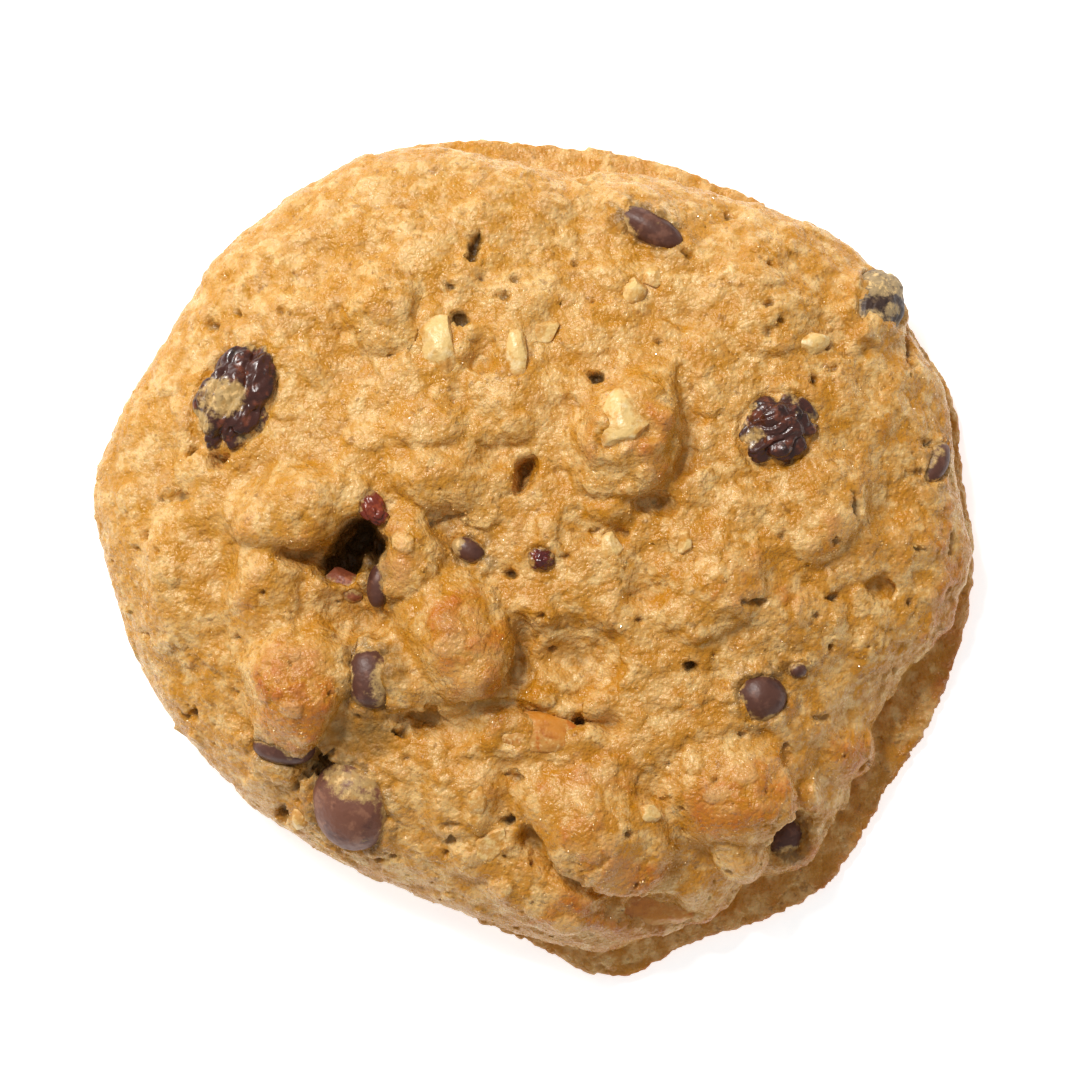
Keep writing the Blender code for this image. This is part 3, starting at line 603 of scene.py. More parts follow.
def pore_relief(points):
    """Depth of the pores and cracks."""
    depth = np.zeros(len(points))
    x = points[:, 0] + 0.35 * swell(points, 1.1, 64) + 0.2 * swell(points, 0.5, 65)
    y = points[:, 1] + 0.35 * swell(points, 1.1, 66) + 0.2 * swell(points, 0.5, 67)
    for spot in PORES:
        reach, _ = oval(x, y, spot)
        depth = np.maximum(depth, spot[5] * np.clip(1 - reach, 0, 1) ** 0.5)
    ragged = np.clip(0.75 + 0.8 * swell(points, 1.3, 68), 0.15, None)
    for half_width, deep, line in CRACKS:
        near = np.clip(along_line(x, y, line) / (half_width * ragged), 0, 1)
        depth = np.maximum(depth, deep * ragged * np.sqrt(1 - near ** 2))
    tree = point_tree(points)
    draw = np.random.RandomState(97)
    for chosen in draw.choice(len(points), SCATTERED_PORES, replace=False):
        middle = points[chosen]
        radius = 0.17 + 0.3 * draw.rand() ** 3
        if middle[2] > BARE_BELOW:
            for _, index, far in tree.find_range(middle, radius):
                depth[index] = max(depth[index], DEEPER * radius * math.sqrt(1 - (far / radius) ** 2))
    return depth


def near_piece(points, spot):
    """How far each point is outside a piece's own oval form: below 0 inside it, in millimetres."""
    turn = np.array(seat(spot))
    half = np.array(spot[3])
    local = (points - middle_of(spot[0])) @ turn / half
    return (np.linalg.norm(local, axis=1) - 1) * half[:2].mean()


def spiral_place(draw, index, count, reach, start):
    """A place on a sunflower's spiral, shifted at random."""
    far = reach * math.sqrt((index + 0.5) / count)
    turn = index * GOLDEN_TURN + start
    x = far * math.cos(turn) + draw.uniform(-2, 2)
    return x, far * math.sin(turn) + draw.uniform(-2, 2)


def flake_places():
    """x, y, turn, half length and half width of each oat flake: the large ones, then the small."""
    draw = np.random.RandomState(29)
    spots = []
    for index in range(FLAKES):
        place = spiral_place(draw, index, FLAKES, FLAKES_REACH, 0)
        spots.append((*place, draw.uniform(0, math.pi), *FLAKE_SIZE))
        draw.uniform(-0.15, 0.15)     # not used: it keeps the later draws in their order
    for index in range(SMALL_FLAKES):
        size = draw.uniform(*SMALL_FLAKE_SIZE)
        place = spiral_place(draw, index, SMALL_FLAKES, SMALL_FLAKES_REACH, 1)
        spots.append((*place, draw.uniform(0, math.pi), size, size * draw.uniform(0.5, 0.8)))
    return spots


def lay_flakes(points, normals, crumb):
    """Flakes half in the dough, smoother than the crumb, with one edge up. Returns where they are."""
    oat = np.zeros(len(points))
    draw = np.random.RandomState(31)
    top = points[:, 2] > BARE_BELOW
    ragged = 0.3 * swell(points, 1.2, 83)
    for x, y, turn, half_length, half_width in flake_places():
        beside = (np.abs(points[:, 0] - x) < 4) & (np.abs(points[:, 1] - y) < 4)
        near_middle = np.flatnonzero(top & beside)
        lift, paleness, tilt = draw.uniform(0.08, 0.34), draw.uniform(0.25, 1.0), draw.uniform(-1, 1)
        if len(near_middle) == 0:
            continue
        local = points[near_middle]
        centre = near_middle[np.argmin(np.hypot(local[:, 0] - x, local[:, 1] - y))]
        spread = local - points[centre]
        up = normals[centre]
        side = np.cross(up, [math.cos(turn), math.sin(turn), 0.2])
        side /= np.linalg.norm(side)
        along = np.cross(side, up)
        u, v = spread @ along / half_length, spread @ side / half_width
        reach = u * u + v * v + ragged[near_middle]
        inside = 1 - ramp(reach, 0.8, 1.1)
        furrow = 0.06 * np.exp(-(v / 0.2) ** 2)
        high = inside * np.clip(lift * (1 + 1.1 * u * tilt + 0.5 * v) - furrow, 0, None)
        crumb[near_middle] = crumb[near_middle] * (1 - 0.65 * inside) + high
        oat[near_middle] = np.maximum(oat[near_middle] * (1 - inside), paleness * inside)
    return oat


print("oat flakes:", len(flake_places()))

# %% [markdown]
# ## The layers on the dough
#
# The high lobes are glazed and smoother, and the hollows are coarser. Where a piece sits, the dough
# rises round it in a collar and then closes on it with a fine crease.

# %% The layers on the dough
points = read_points(dough.data)
normals = read_normals(dough.data)
_, _, rise, dip = main_relief(points)
glazed = ramp(rise, 0.4, 2.4) * (1 - ramp(dip, 0.2, 1.2))
bent = points + 0.5 * np.stack([swell(points, 2.2, seed) for seed in (61, 62, 63)], axis=1)
coarse = 0.4 + 0.7 * ramp(swell(points, 7.0, 77), -0.1, 0.6) + 0.9 * ramp(dip, 0.3, 1.5)
on_foot = 1 - ramp(points[:, 2], 2.6, 4.2)
lumps, lump_pale, lump_creases = pebbly(bent, size=2.6, height=0.17, seed=79)
grains, grain_pale, grain_creases = pebbly(bent, size=1.3, height=0.27, seed=73)
pavement = flaky(bent, size=4.2, tilt=0.16, step=0.24, crease=0.06, seed=71)
crumb = pavement * (1 - 0.3 * glazed) + lumps * (1 + 0.8 * on_foot)
crumb += grains * np.maximum(coarse * (1 - 0.3 * glazed), 0.5 * on_foot)
crumb += 0.08 * swell(points, 0.9, 74) + 0.11 * swell(points, 1.8, 75)
pale = np.maximum(0.7 * lump_pale, grain_pale)
# The grains' creases get amber glaze and painted shade.
pooled = np.maximum(0.9 * lump_creases, grain_creases)
pores = pore_relief(points)
oat = lay_flakes(points, normals, crumb)
crease, collar = np.zeros(len(points)), np.zeros(len(points))
hug = 0.55 + 0.6 * swell(points, 2.6, 78)
for spot in RAISINS + CHIPS + NUTS + CARAMELS:
    outside = near_piece(points, spot)
    reach = 0.5 + 0.22 * max(spot[3])
    grip = COLLAR.get(spot[0], min(MOST_COLLAR, 0.5 * spot[3][2]))
    collar = np.maximum(collar, grip * hug * np.exp(-(np.clip(outside - 0.3, 0, None) / reach) ** 2))
    pinch = np.clip(1 - np.abs(outside + 0.1) / 0.55, 0, 1)
    crease = np.maximum(crease, look_up(CREASE, spot[0], USUAL_CREASE) * pinch)
underneath = 1 - ramp(points[:, 2], 0.15, 1.2)
depth = crumb - pores - crease + collar
moved = points + normals * (depth * (1 - underneath))[:, None]
moved[:, 2] += underneath * 0.25 * np.clip(swell(points, 3.0, 81), 0, 1)
write_points(dough.data, moved)
full_tree = point_tree(moved)
print("crumb stands", crumb.min().round(2), "to", crumb.max().round(2), "mm from the plain skin")

# %% [markdown]
# ## Thinning and fitting the dough
#
# Decimate keeps the small faces where the crumb is busy and clears them from the flat underside.
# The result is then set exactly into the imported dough's box.

# %% Thinning and fitting the dough
DOUGH_TRIANGLES = 192000
BOX_CLEAR = 0.02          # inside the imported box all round

thin_to(dough, DOUGH_TRIANGLES)
points = read_points(dough.data)
same_as = np.array([full_tree.find(point)[1] for point in points])
low, high = points.min(0), points.max(0)
target_low, target_high = dough_low + BOX_CLEAR - PLAN_SHIFT, dough_high - BOX_CLEAR - PLAN_SHIFT
stretch = (target_high - target_low) / (high - low)
stretch[2] = min(stretch[2], 1.0)
points = (points - low) * stretch + target_low
points[:, 2] -= points[:, 2].min() - dough_low[2]
write_points(dough.data, points)
print("dough:", triangles(dough.data), "triangles, stretched by", stretch.round(4))

# %% [markdown]
# ## What the oven did to each point, and painted light and shade
#
# Toast follows height and sharpness: peaks brown first. The hollows are painted sandy, partly for
# their matte crumb and partly as painted shade, and the deepest hollows and the pores are painted
# dark as painted shade. Amber in the grain's creases is pooled glaze and painted shade. The side
# that faces the key light is painted fairer, a painted light, and the side away from it more
# toasted, a painted shade. A point that stands out from the average of its neighbours is a peak.
# Smoothing the skin step by step gives that average, first over a millimetre and then over several.

# %% What the oven did to each point, and painted light and shade
# x, y, half length, half width, turn, how brown
TOASTED_PLACES = [
    (-17.4, 26.4, 4.4, 5.6, 10, 0.6), (13.6, 11.4, 5.4, 3.4, -50, 0.75), (4.8, 12.0, 2.0, 4.0, 0, 0.5),
    (-26.7, 3.6, 7.0, 3.0, 12, 0.5), (-30.5, -5.0, 4.0, 6.5, 0, 0.55), (-26.2, -14.4, 6.0, 6.4, 0, 1.0),
    (-14.4, -0.6, 2.2, 5.0, 10, 0.8), (-7.4, -8.0, 5.6, 6.4, 20, 0.7), (-4.6, -13.2, 1.8, 2.8, 0, 1.0),
    (21.4, -25.4, 6.4, 4.6, 30, 0.6), (9.0, -23.0, 7.4, 3.0, -10, 0.6), (9.6, -33.6, 6.4, 2.2, -12, 0.8),
    (14.0, -1.0, 6.0, 2.4, 40, 0.4), (26.6, -1.6, 5.6, 4.4, 0, 0.4), (35.0, -22.0, 3.0, 4.0, 0, 0.6),
    (6.0, -39.6, 9.0, 2.6, -5, 0.6), (-36.0, 22.0, 3.0, 8.0, -30, 0.3), (44.8, -6.0, 2.0, 12.0, 0, 0.6),
]

# x, y, half length, half width, turn, how sandy and olive the dough is painted there: sandy crumb in
# hollows and beside pieces, and painted shade there
SANDY_SHADED_PLACES = [
    (-18.6, -19.4, 4.6, 3.8, 0, 0.9), (-15.4, -12.0, 2.6, 3.0, 0, 0.9), (-19.0, -6.4, 4.0, 4.0, 0, 0.6),
    (4.2, -11.0, 5.6, 4.4, 0, 0.4), (-33.6, 17.6, 2.4, 2.6, 0, 0.8), (37.4, 29.0, 3.6, 3.0, 60, 0.8),
    (-3.6, 15.4, 3.4, 4.4, 0, 0.5), (27.0, -12.6, 2.6, 1.8, 0, 0.6), (15.0, -6.0, 3.0, 3.0, 0, 0.4),
    (27.6, -31.0, 3.0, 3.6, 0, 0.8), (3.0, -33.0, 4.0, 2.0, -30, 0.6),
]


def smoothed(mesh, values, steps):
    """Values averaged over the mesh's edges, step by step."""
    ends = np.zeros(len(mesh.edges) * 2, np.int64)
    mesh.edges.foreach_get("vertices", ends)
    a, b = ends.reshape(-1, 2).T
    count = np.bincount(a, minlength=len(values)) + np.bincount(b, minlength=len(values))
    for _ in range(steps):
        total = np.empty_like(values)
        for axis in range(values.shape[1]):
            total[:, axis] = np.bincount(a, values[b, axis], len(values))
            total[:, axis] += np.bincount(b, values[a, axis], len(values))
        values = 0.5 * values + 0.5 * total / count[:, None]
    return values


def strongest(table, x, y, low, high):
    """The strongest of several soft-edged ovals at each point."""
    most = np.zeros(len(x))
    for spot in table:
        reach, _ = oval(x, y, spot)
        most = np.maximum(most, spot[5] * (1 - ramp(reach, low, high)))
    return most


normals = read_normals(dough.data)
near = smoothed(dough.data, points, 6)
far = smoothed(dough.data, near, 60)
wide = smoothed(dough.data, far, 200)
fine_peak = np.sum((points - near) * normals, axis=1)
peak = np.sum((near - far) * normals, axis=1)
broad = np.sum((far - wide) * normals, axis=1)
_, _, rise, dip = main_relief(points)
x, y = wander(points)
browned = strongest(TOASTED_PLACES, x, y, 0.2, 1.4)
# Painted light and shade: the side facing the key light, up and to the left, is made fairer, and the side
# away from it more toasted.
away_from_key_light = 0.6 * points[:, 0] - 0.8 * points[:, 1]
shade_side = ramp(away_from_key_light, -25, 35)
fair = 1 - ramp(away_from_key_light, -38, 14)
toast = 0.3 * ramp(peak, -0.1, 0.7) + 0.3 * ramp(broad, -0.3, 1.2) + 0.6 * browned
toast += 0.2 * swell(points, 9.0, 91)
# These side terms are painted light and painted shade, not toast.
toast += 0.3 * shade_side - 0.1 - 0.25 * fair
# recess: the sandy crumb of the hollows, and painted shade in them
recess = ramp(-peak, 0.05, 0.55) * 0.5 + ramp(-broad, 0.1, 1.6) * 0.35 + 0.3 * ramp(dip, 0.5, 3.0)
smear = np.zeros(len(points))
for spot in CHIPS:
    smear = np.maximum(smear, 1 - ramp(near_piece(points, spot), 0.0, 2.4))
recess = np.maximum(recess, strongest(SANDY_SHADED_PLACES, x, y, 0.1, 1.5))
looks = {
    # Painted shade: the deep hollows and the pores are darkened.
    "pit": np.maximum(ramp(dip, 3.6, 7.0), ramp(pores[same_as], 0.35, 1.3)),
    "toast": np.clip(toast, 0, 1),
    "fair": fair,
    "recess": np.clip(recess, 0, 1),
    "smear": smear,
    "pale": smoothed(dough.data, pale[same_as][:, None], 2)[:, 0],
    "pooled": np.clip(pooled[same_as] - fine_peak / 0.3, 0, 1),
    "oat": oat[same_as],
}
for name, values in looks.items():
    paint(dough.data, name, values)
print("toast from", toast.min().round(2), "to", toast.max().round(2), "recess up to", recess.max().round(2))

# %% [markdown]
# ## Raisins, chips, nuts and caramel
#
# Each kind has its own way of turning a ball into its form: a raisin is folded, a chip is a soft
# drop, a nut is cut by flat faces, and caramel is a melted pillow. They have the size and place of
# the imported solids, with many more faces for the folds and worn corners.

# %% Raisins, chips, nuts and caramel
def wrinkled(ball, seed):
    """A raisin: shrunken, with folds that run round it."""
    bent = ball + 0.2 * np.stack([swell(ball, 0.8, seed + k) for k in (1, 2, 3)], axis=1)
    folds = np.abs(swell(bent * [1.0, 1.5, 1.5], 0.95, seed))
    fine = np.abs(swell(bent * [1.0, 1.4, 1.4], 0.48, seed + 5))
    finer = np.abs(swell(bent, 0.24, seed + 6))
    dent = 0.5 * (0.4 - folds).clip(0) + 0.2 * (0.3 - fine).clip(0) + 0.06 * (0.3 - finer).clip(0)
    return ball * (1.04 + 0.08 * swell(ball, 0.9, seed + 7) - dent)[:, None]


def smothered(ball, seed):
    """A raisin under a skin of dough, which fills most of its folds."""
    return ball + 0.35 * (wrinkled(ball, seed) - ball)


def dropped(ball, seed):
    """A chocolate chip: a drop with a broad foot, softened by the oven."""
    soft = 1 + 0.05 * swell(ball, 1.0, seed)
    dents = 0.012 * swell(ball, 0.35, seed + 1) + 0.006 * swell(ball, 0.12, seed + 2)
    return ball * (soft + dents - 0.1 * np.clip(-ball[:, 2], 0, 1))[:, None]


def chopped(ball, seed):
    """A nut chunk: cut by a few flat faces, with its corners worn."""
    draw = np.random.RandomState(seed)
    shape = ball * (1.12 + 0.08 * swell(ball, 0.9, seed)[:, None])
    for _ in range(7):
        way = draw.normal(size=3)
        way /= np.linalg.norm(way)
        beyond = np.clip(shape @ way - draw.uniform(0.72, 0.92), 0, None)
        shape = shape - np.outer(beyond, way)
    rough = 0.03 * swell(ball, 0.4, seed + 1) + 0.018 * swell(ball, 0.16, seed + 2)
    return shape * (1 + rough)[:, None]


def melted(ball, seed):
    """Caramel: a soft flat drop that has run between the crags."""
    ripple = 0.03 * swell(ball, 0.4, seed + 1) + 0.01 * swell(ball, 0.15, seed + 2)
    return ball * (1 + 0.12 * swell(ball, 0.8, seed) + ripple)[:, None]


def make_piece(spot, form, detail, seed):
    """A piece in its own form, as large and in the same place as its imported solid."""
    name = spot[0]
    mesh = ball_mesh(name + "_real", detail)
    points = form(read_points(mesh), seed) * np.array(spot[3]) @ np.array(seat(spot)).T
    low, high = (np.array(corner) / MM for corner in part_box(name))
    own_low, own_high = points.min(0), points.max(0)
    fit = np.minimum((high - low) / (own_high - own_low), 1.0)
    points = (points - (own_low + own_high) / 2) * fit + (low + high) / 2
    write_points(mesh, points * MM)
    return add_object(name + "_real", mesh)


FINE, COARSE = 6, 5      # detail of the ball for a large piece, and for a small one
LARGE = 2.8
made = {}
for spots, form in ((RAISINS, wrinkled), (CHIPS, dropped), (NUTS, chopped), (CARAMELS, melted)):
    for index, spot in enumerate(spots):
        detail = FINE if max(spot[3]) > LARGE else COARSE
        own_form = smothered if "buried" in spot[0] else form
        made[spot[0]] = make_piece(spot, own_form, detail, 41 + index)
print("pieces set in the dough:", len(made))

# %% [markdown]
# ## Sugar grains
#
# Coarse sugar does not all melt. What is left lies in the glaze as tiny crystals, and the flat
# faces of some of them catch the light. They are one piece: each is a ball of twenty faces, turned
# at random and sunk over halfway, and there are more of them where the dough is not sandy.

# %% Sugar grains
SUGAR_GRAINS = 5200
SUGAR_RADII = (0.07, 0.15)
SUGAR_SINK = 0.35                     # in the grain's own radii
LOWEST_SUGAR, TOP_CLEAR = 2.5, 0.2     # height above the floor, and under the highest point


def scatter(name, places, ways_up, radii, sink, seed):
    """Small faceted grains at the given places, merged into one mesh."""
    grain = ball_mesh("one_grain", 1)
    ball = read_points(grain)
    faces = np.array([face.vertices[:] for face in grain.polygons])
    bpy.data.meshes.remove(grain)
    draw = np.random.RandomState(seed)
    count = len(places)
    turns = draw.normal(size=(count, 4))
    turns /= np.linalg.norm(turns, axis=1)[:, None]
    w, x, y, z = turns.T
    spin = np.stack([1 - 2 * (y * y + z * z), 2 * (x * y - w * z), 2 * (x * z + w * y),
                     2 * (x * y + w * z), 1 - 2 * (x * x + z * z), 2 * (y * z - w * x),
                     2 * (x * z - w * y), 2 * (y * z + w * x), 1 - 2 * (x * x + y * y)], axis=1)
    stretch = draw.uniform(0.7, 1.3, (count, 1, 3))
    shape = np.einsum("nij,nkj->nki", spin.reshape(-1, 3, 3), ball[None] * stretch)
    shape *= radii[:, None, None]
    shape += (places - ways_up * (radii * sink)[:, None])[:, None, :]
    mesh = bpy.data.meshes.new(name)
    all_faces = (faces[None] + (np.arange(count) * len(ball))[:, None, None]).reshape(-1, 3)
    mesh.from_pydata((shape.reshape(-1, 3) * MM).tolist(), [], all_faces.tolist())
    return add_object(name, mesh)


draw = np.random.RandomState(51)
likely = 0.25 + np.clip(swell(points, 5.0, 52) + 0.3, 0, 1)
likely = likely * (1 - np.clip(recess, 0, 0.9)) * (1 - looks["pit"])
likely *= (points[:, 2] > LOWEST_SUGAR) & (points[:, 2] < points[:, 2].max() - TOP_CLEAR)
chosen = draw.choice(len(points), SUGAR_GRAINS, replace=False, p=likely / likely.sum())
radii = draw.uniform(*SUGAR_RADII, SUGAR_GRAINS)
sugar = scatter("sugar_grains", points[chosen] + PLAN_SHIFT, normals[chosen], radii, SUGAR_SINK, 53)
print("sugar grains:", SUGAR_GRAINS, "with", triangles(sugar.data), "triangles")

# %% [markdown]
# ## Helpers for nodes
#
# A material is a chain of nodes. Each helper adds one node, sets its inputs or joins them to others,
# and gives back its output, so that a recipe can be read from top to bottom.

# %% Helpers for nodes
def srgb(red, green, blue):
    """A colour as seen on a screen, made linear."""
    seen = [c / 255 for c in (red, green, blue)]
    return tuple(c / 12.92 if c <= 0.04045 else ((c + 0.055) / 1.055) ** 2.4 for c in seen) + (1.0,)


class Nodes:
    """Adds nodes to a tree, sets their inputs and joins them."""

    def __init__(self, tree):
        self.tree = tree

    def add(self, kind, inputs=None, **settings):
        node = self.tree.nodes.new("ShaderNode" + kind)
        for key, value in settings.items():
            setattr(node, key, value)
        for key, value in (inputs or {}).items():
            if isinstance(value, bpy.types.NodeSocket):
                self.tree.links.new(value, node.inputs[key])
            else:
                node.inputs[key].default_value = value
        return node

    def noise(self, vector, scale, detail=3.0, rough=0.55):
        inputs = {"Vector": vector, "Scale": scale, "Detail": detail, "Roughness": rough}
        return self.add("TexNoise", inputs).outputs["Fac"]

    def cells(self, vector, scale):
        return self.add("TexVoronoi", {"Vector": vector, "Scale": scale}).outputs["Distance"]

    def shifted(self, vector, by):
        return self.add("VectorMath", {0: vector, 1: by}, operation="ADD").outputs[0]

    def math(self, operation, a, b):
        return self.add("Math", {0: a, 1: b}, operation=operation).outputs[0]

    def times(self, a, b):
        return self.math("MULTIPLY", a, b)

    def span(self, value, low, high, to_low=0.0, to_high=1.0, kind="SMOOTHSTEP"):
        """Maps low..high to another range, clamped, with soft ends unless kind says otherwise."""
        inputs = {"Value": value, "From Min": low, "From Max": high, "To Min": to_low, "To Max": to_high}
        return self.add("MapRange", inputs, interpolation_type=kind).outputs["Result"]

    def mix(self, share, a, b):
        return self.add("Mix", {0: share, 6: a, 7: b}, data_type="RGBA").outputs[2]

    def attribute(self, name):
        return self.add("Attribute", attribute_name=name).outputs["Fac"]

    def group(self, tree, inputs):
        return self.add("Group", inputs, node_tree=tree).outputs


def new_group(name, inputs, outputs):
    """An empty node group with named sockets, and its input and output nodes."""
    tree = bpy.data.node_groups.new(name, "ShaderNodeTree")
    for label, kind, value in inputs:
        socket = tree.interface.new_socket(label, in_out="INPUT", socket_type="NodeSocket" + kind)
        socket.default_value = value
    for label, kind in outputs:
        tree.interface.new_socket(label, in_out="OUTPUT", socket_type="NodeSocket" + kind)
    return tree, tree.nodes.new("NodeGroupInput").outputs, tree.nodes.new("NodeGroupOutput").inputs


print("the middle grey of a screen is", round(srgb(128, 128, 128)[0], 3), "in linear light")

# %% [markdown]
# ## Grain and mottling
#
# Two effects are shared, so each is a node group: grain, which gives a fine bump and an uneven
# roughness, and mottling, which varies a colour in patches. The Principled shader stays in each
# material, with its constants set on its own sockets.

# %% Grain and mottling
def make_grain_group():
    """Fine relief and uneven shine, at a size given in millimetres."""
    tree, given, wanted = new_group(
        "Grain", [("Size", "Float", 0.5), ("Rough Low", "Float", 0.4), ("Rough High", "Float", 0.7)],
        [("Height", "Float"), ("Roughness", "Float")])
    nodes = Nodes(tree)
    place = nodes.add("TexCoord").outputs["Object"]
    scale = nodes.math("DIVIDE", 1 / MM, given["Size"])
    coarse = nodes.noise(place, scale, 3.0, 0.5)
    grains = nodes.cells(place, nodes.times(scale, 1.3))
    height = nodes.math("SUBTRACT", coarse, nodes.times(grains, 0.35))
    patches = nodes.noise(place, nodes.times(scale, 0.35), 3.0, 0.6)
    mixed = nodes.math("ADD", nodes.times(patches, 0.6), nodes.times(coarse, 0.4))
    rough = nodes.span(mixed, 0.35, 0.65, given["Rough Low"], given["Rough High"], "LINEAR")
    tree.links.new(height, wanted["Height"])
    tree.links.new(rough, wanted["Roughness"])
    return tree


def make_mottle_group():
    """A colour that drifts towards two others in patches of a given size."""
    tree, given, wanted = new_group(
        "Mottle", [("Color", "Color", (0.5, 0.5, 0.5, 1)), ("Darker", "Color", (0.3, 0.3, 0.3, 1)),
                   ("Lighter", "Color", (0.7, 0.7, 0.7, 1)), ("Size", "Float", 3.0)],
        [("Color", "Color")])
    nodes = Nodes(tree)
    place = nodes.add("TexCoord").outputs["Object"]
    scale = nodes.math("DIVIDE", 1 / MM, given["Size"])
    first = nodes.noise(place, scale, 4.0, 0.6)
    second = nodes.noise(nodes.shifted(place, (0.37, 0.11, 0.23)), nodes.times(scale, 1.7), 4.0, 0.6)
    dark = nodes.span(first, 0.5, 0.68)
    light = nodes.span(second, 0.5, 0.68)
    colour = nodes.mix(dark, given["Color"], given["Darker"])
    tree.links.new(nodes.mix(light, colour, given["Lighter"]), wanted["Color"])
    return tree


GRAIN, MOTTLE = make_grain_group(), make_mottle_group()
print("shared effects:", len(bpy.data.node_groups))

# %% [markdown]
# ## The dough's colours
#
# A baked crust is cream oats in amber glaze. Its colours go on in layers: sugar and fat first, toast
# on the peaks, sand in the hollows, and last the smears of chocolate. Some layers are painted light
# and shade: the side facing the key light is painted fairer and the side away more toasted, the
# hollows and the creases of the grain are darkened with painted shade as well as sand and glaze,
# and the pits are painted dark as painted shade. The painted attributes say where.

# %% The dough's colours
def new_material(name):
    """A material with its Principled shader, and a helper for its nodes."""
    material = bpy.data.materials.new(name)
    material.use_nodes = True
    return material, Nodes(material.node_tree), material.node_tree.nodes["Principled BSDF"]


def set_constants(node, values):
    """Sets constants on a node's own sockets."""
    for key, value in values.items():
        node.inputs[key].default_value = value


def finish_shader(nodes, shader, colour, roughness, height, bump_mm):
    """Joins colour, roughness and bump to the shader."""
    bump = nodes.add("Bump", {"Distance": bump_mm * MM, "Height": height})
    nodes.tree.links.new(colour, shader.inputs["Base Color"])
    nodes.tree.links.new(roughness, shader.inputs["Roughness"])
    nodes.tree.links.new(bump.outputs["Normal"], shader.inputs["Normal"])


TAN = srgb(204, 149, 74)
# Painted light: the fairer tan of the side facing the key light.
LIT_SIDE_TAN = srgb(206, 162, 102)
CREAM = srgb(236, 200, 138)
HONEY = srgb(202, 140, 42)
AMBER = srgb(196, 134, 24)
# Painted light: the glaze's lighter gold on the side facing the key light.
LIT_SIDE_GOLD = srgb(204, 144, 38)
TOASTED = srgb(192, 108, 24)
DEEP_TOAST = srgb(150, 76, 20)
SANDY = srgb(186, 142, 74)
# Painted shade: the olive of the deepest hollows.
SHADE_OLIVE = srgb(132, 100, 48)
BRAN = srgb(112, 62, 18)
# Painted shade: the dark of the deep hollows and pores.
PIT_SHADE = srgb(56, 34, 16)
COCOA = srgb(98, 74, 48)
DUST = srgb(192, 160, 104)
PALE_DUST = srgb(176, 150, 108)
GREY_DUST = srgb(128, 106, 76)


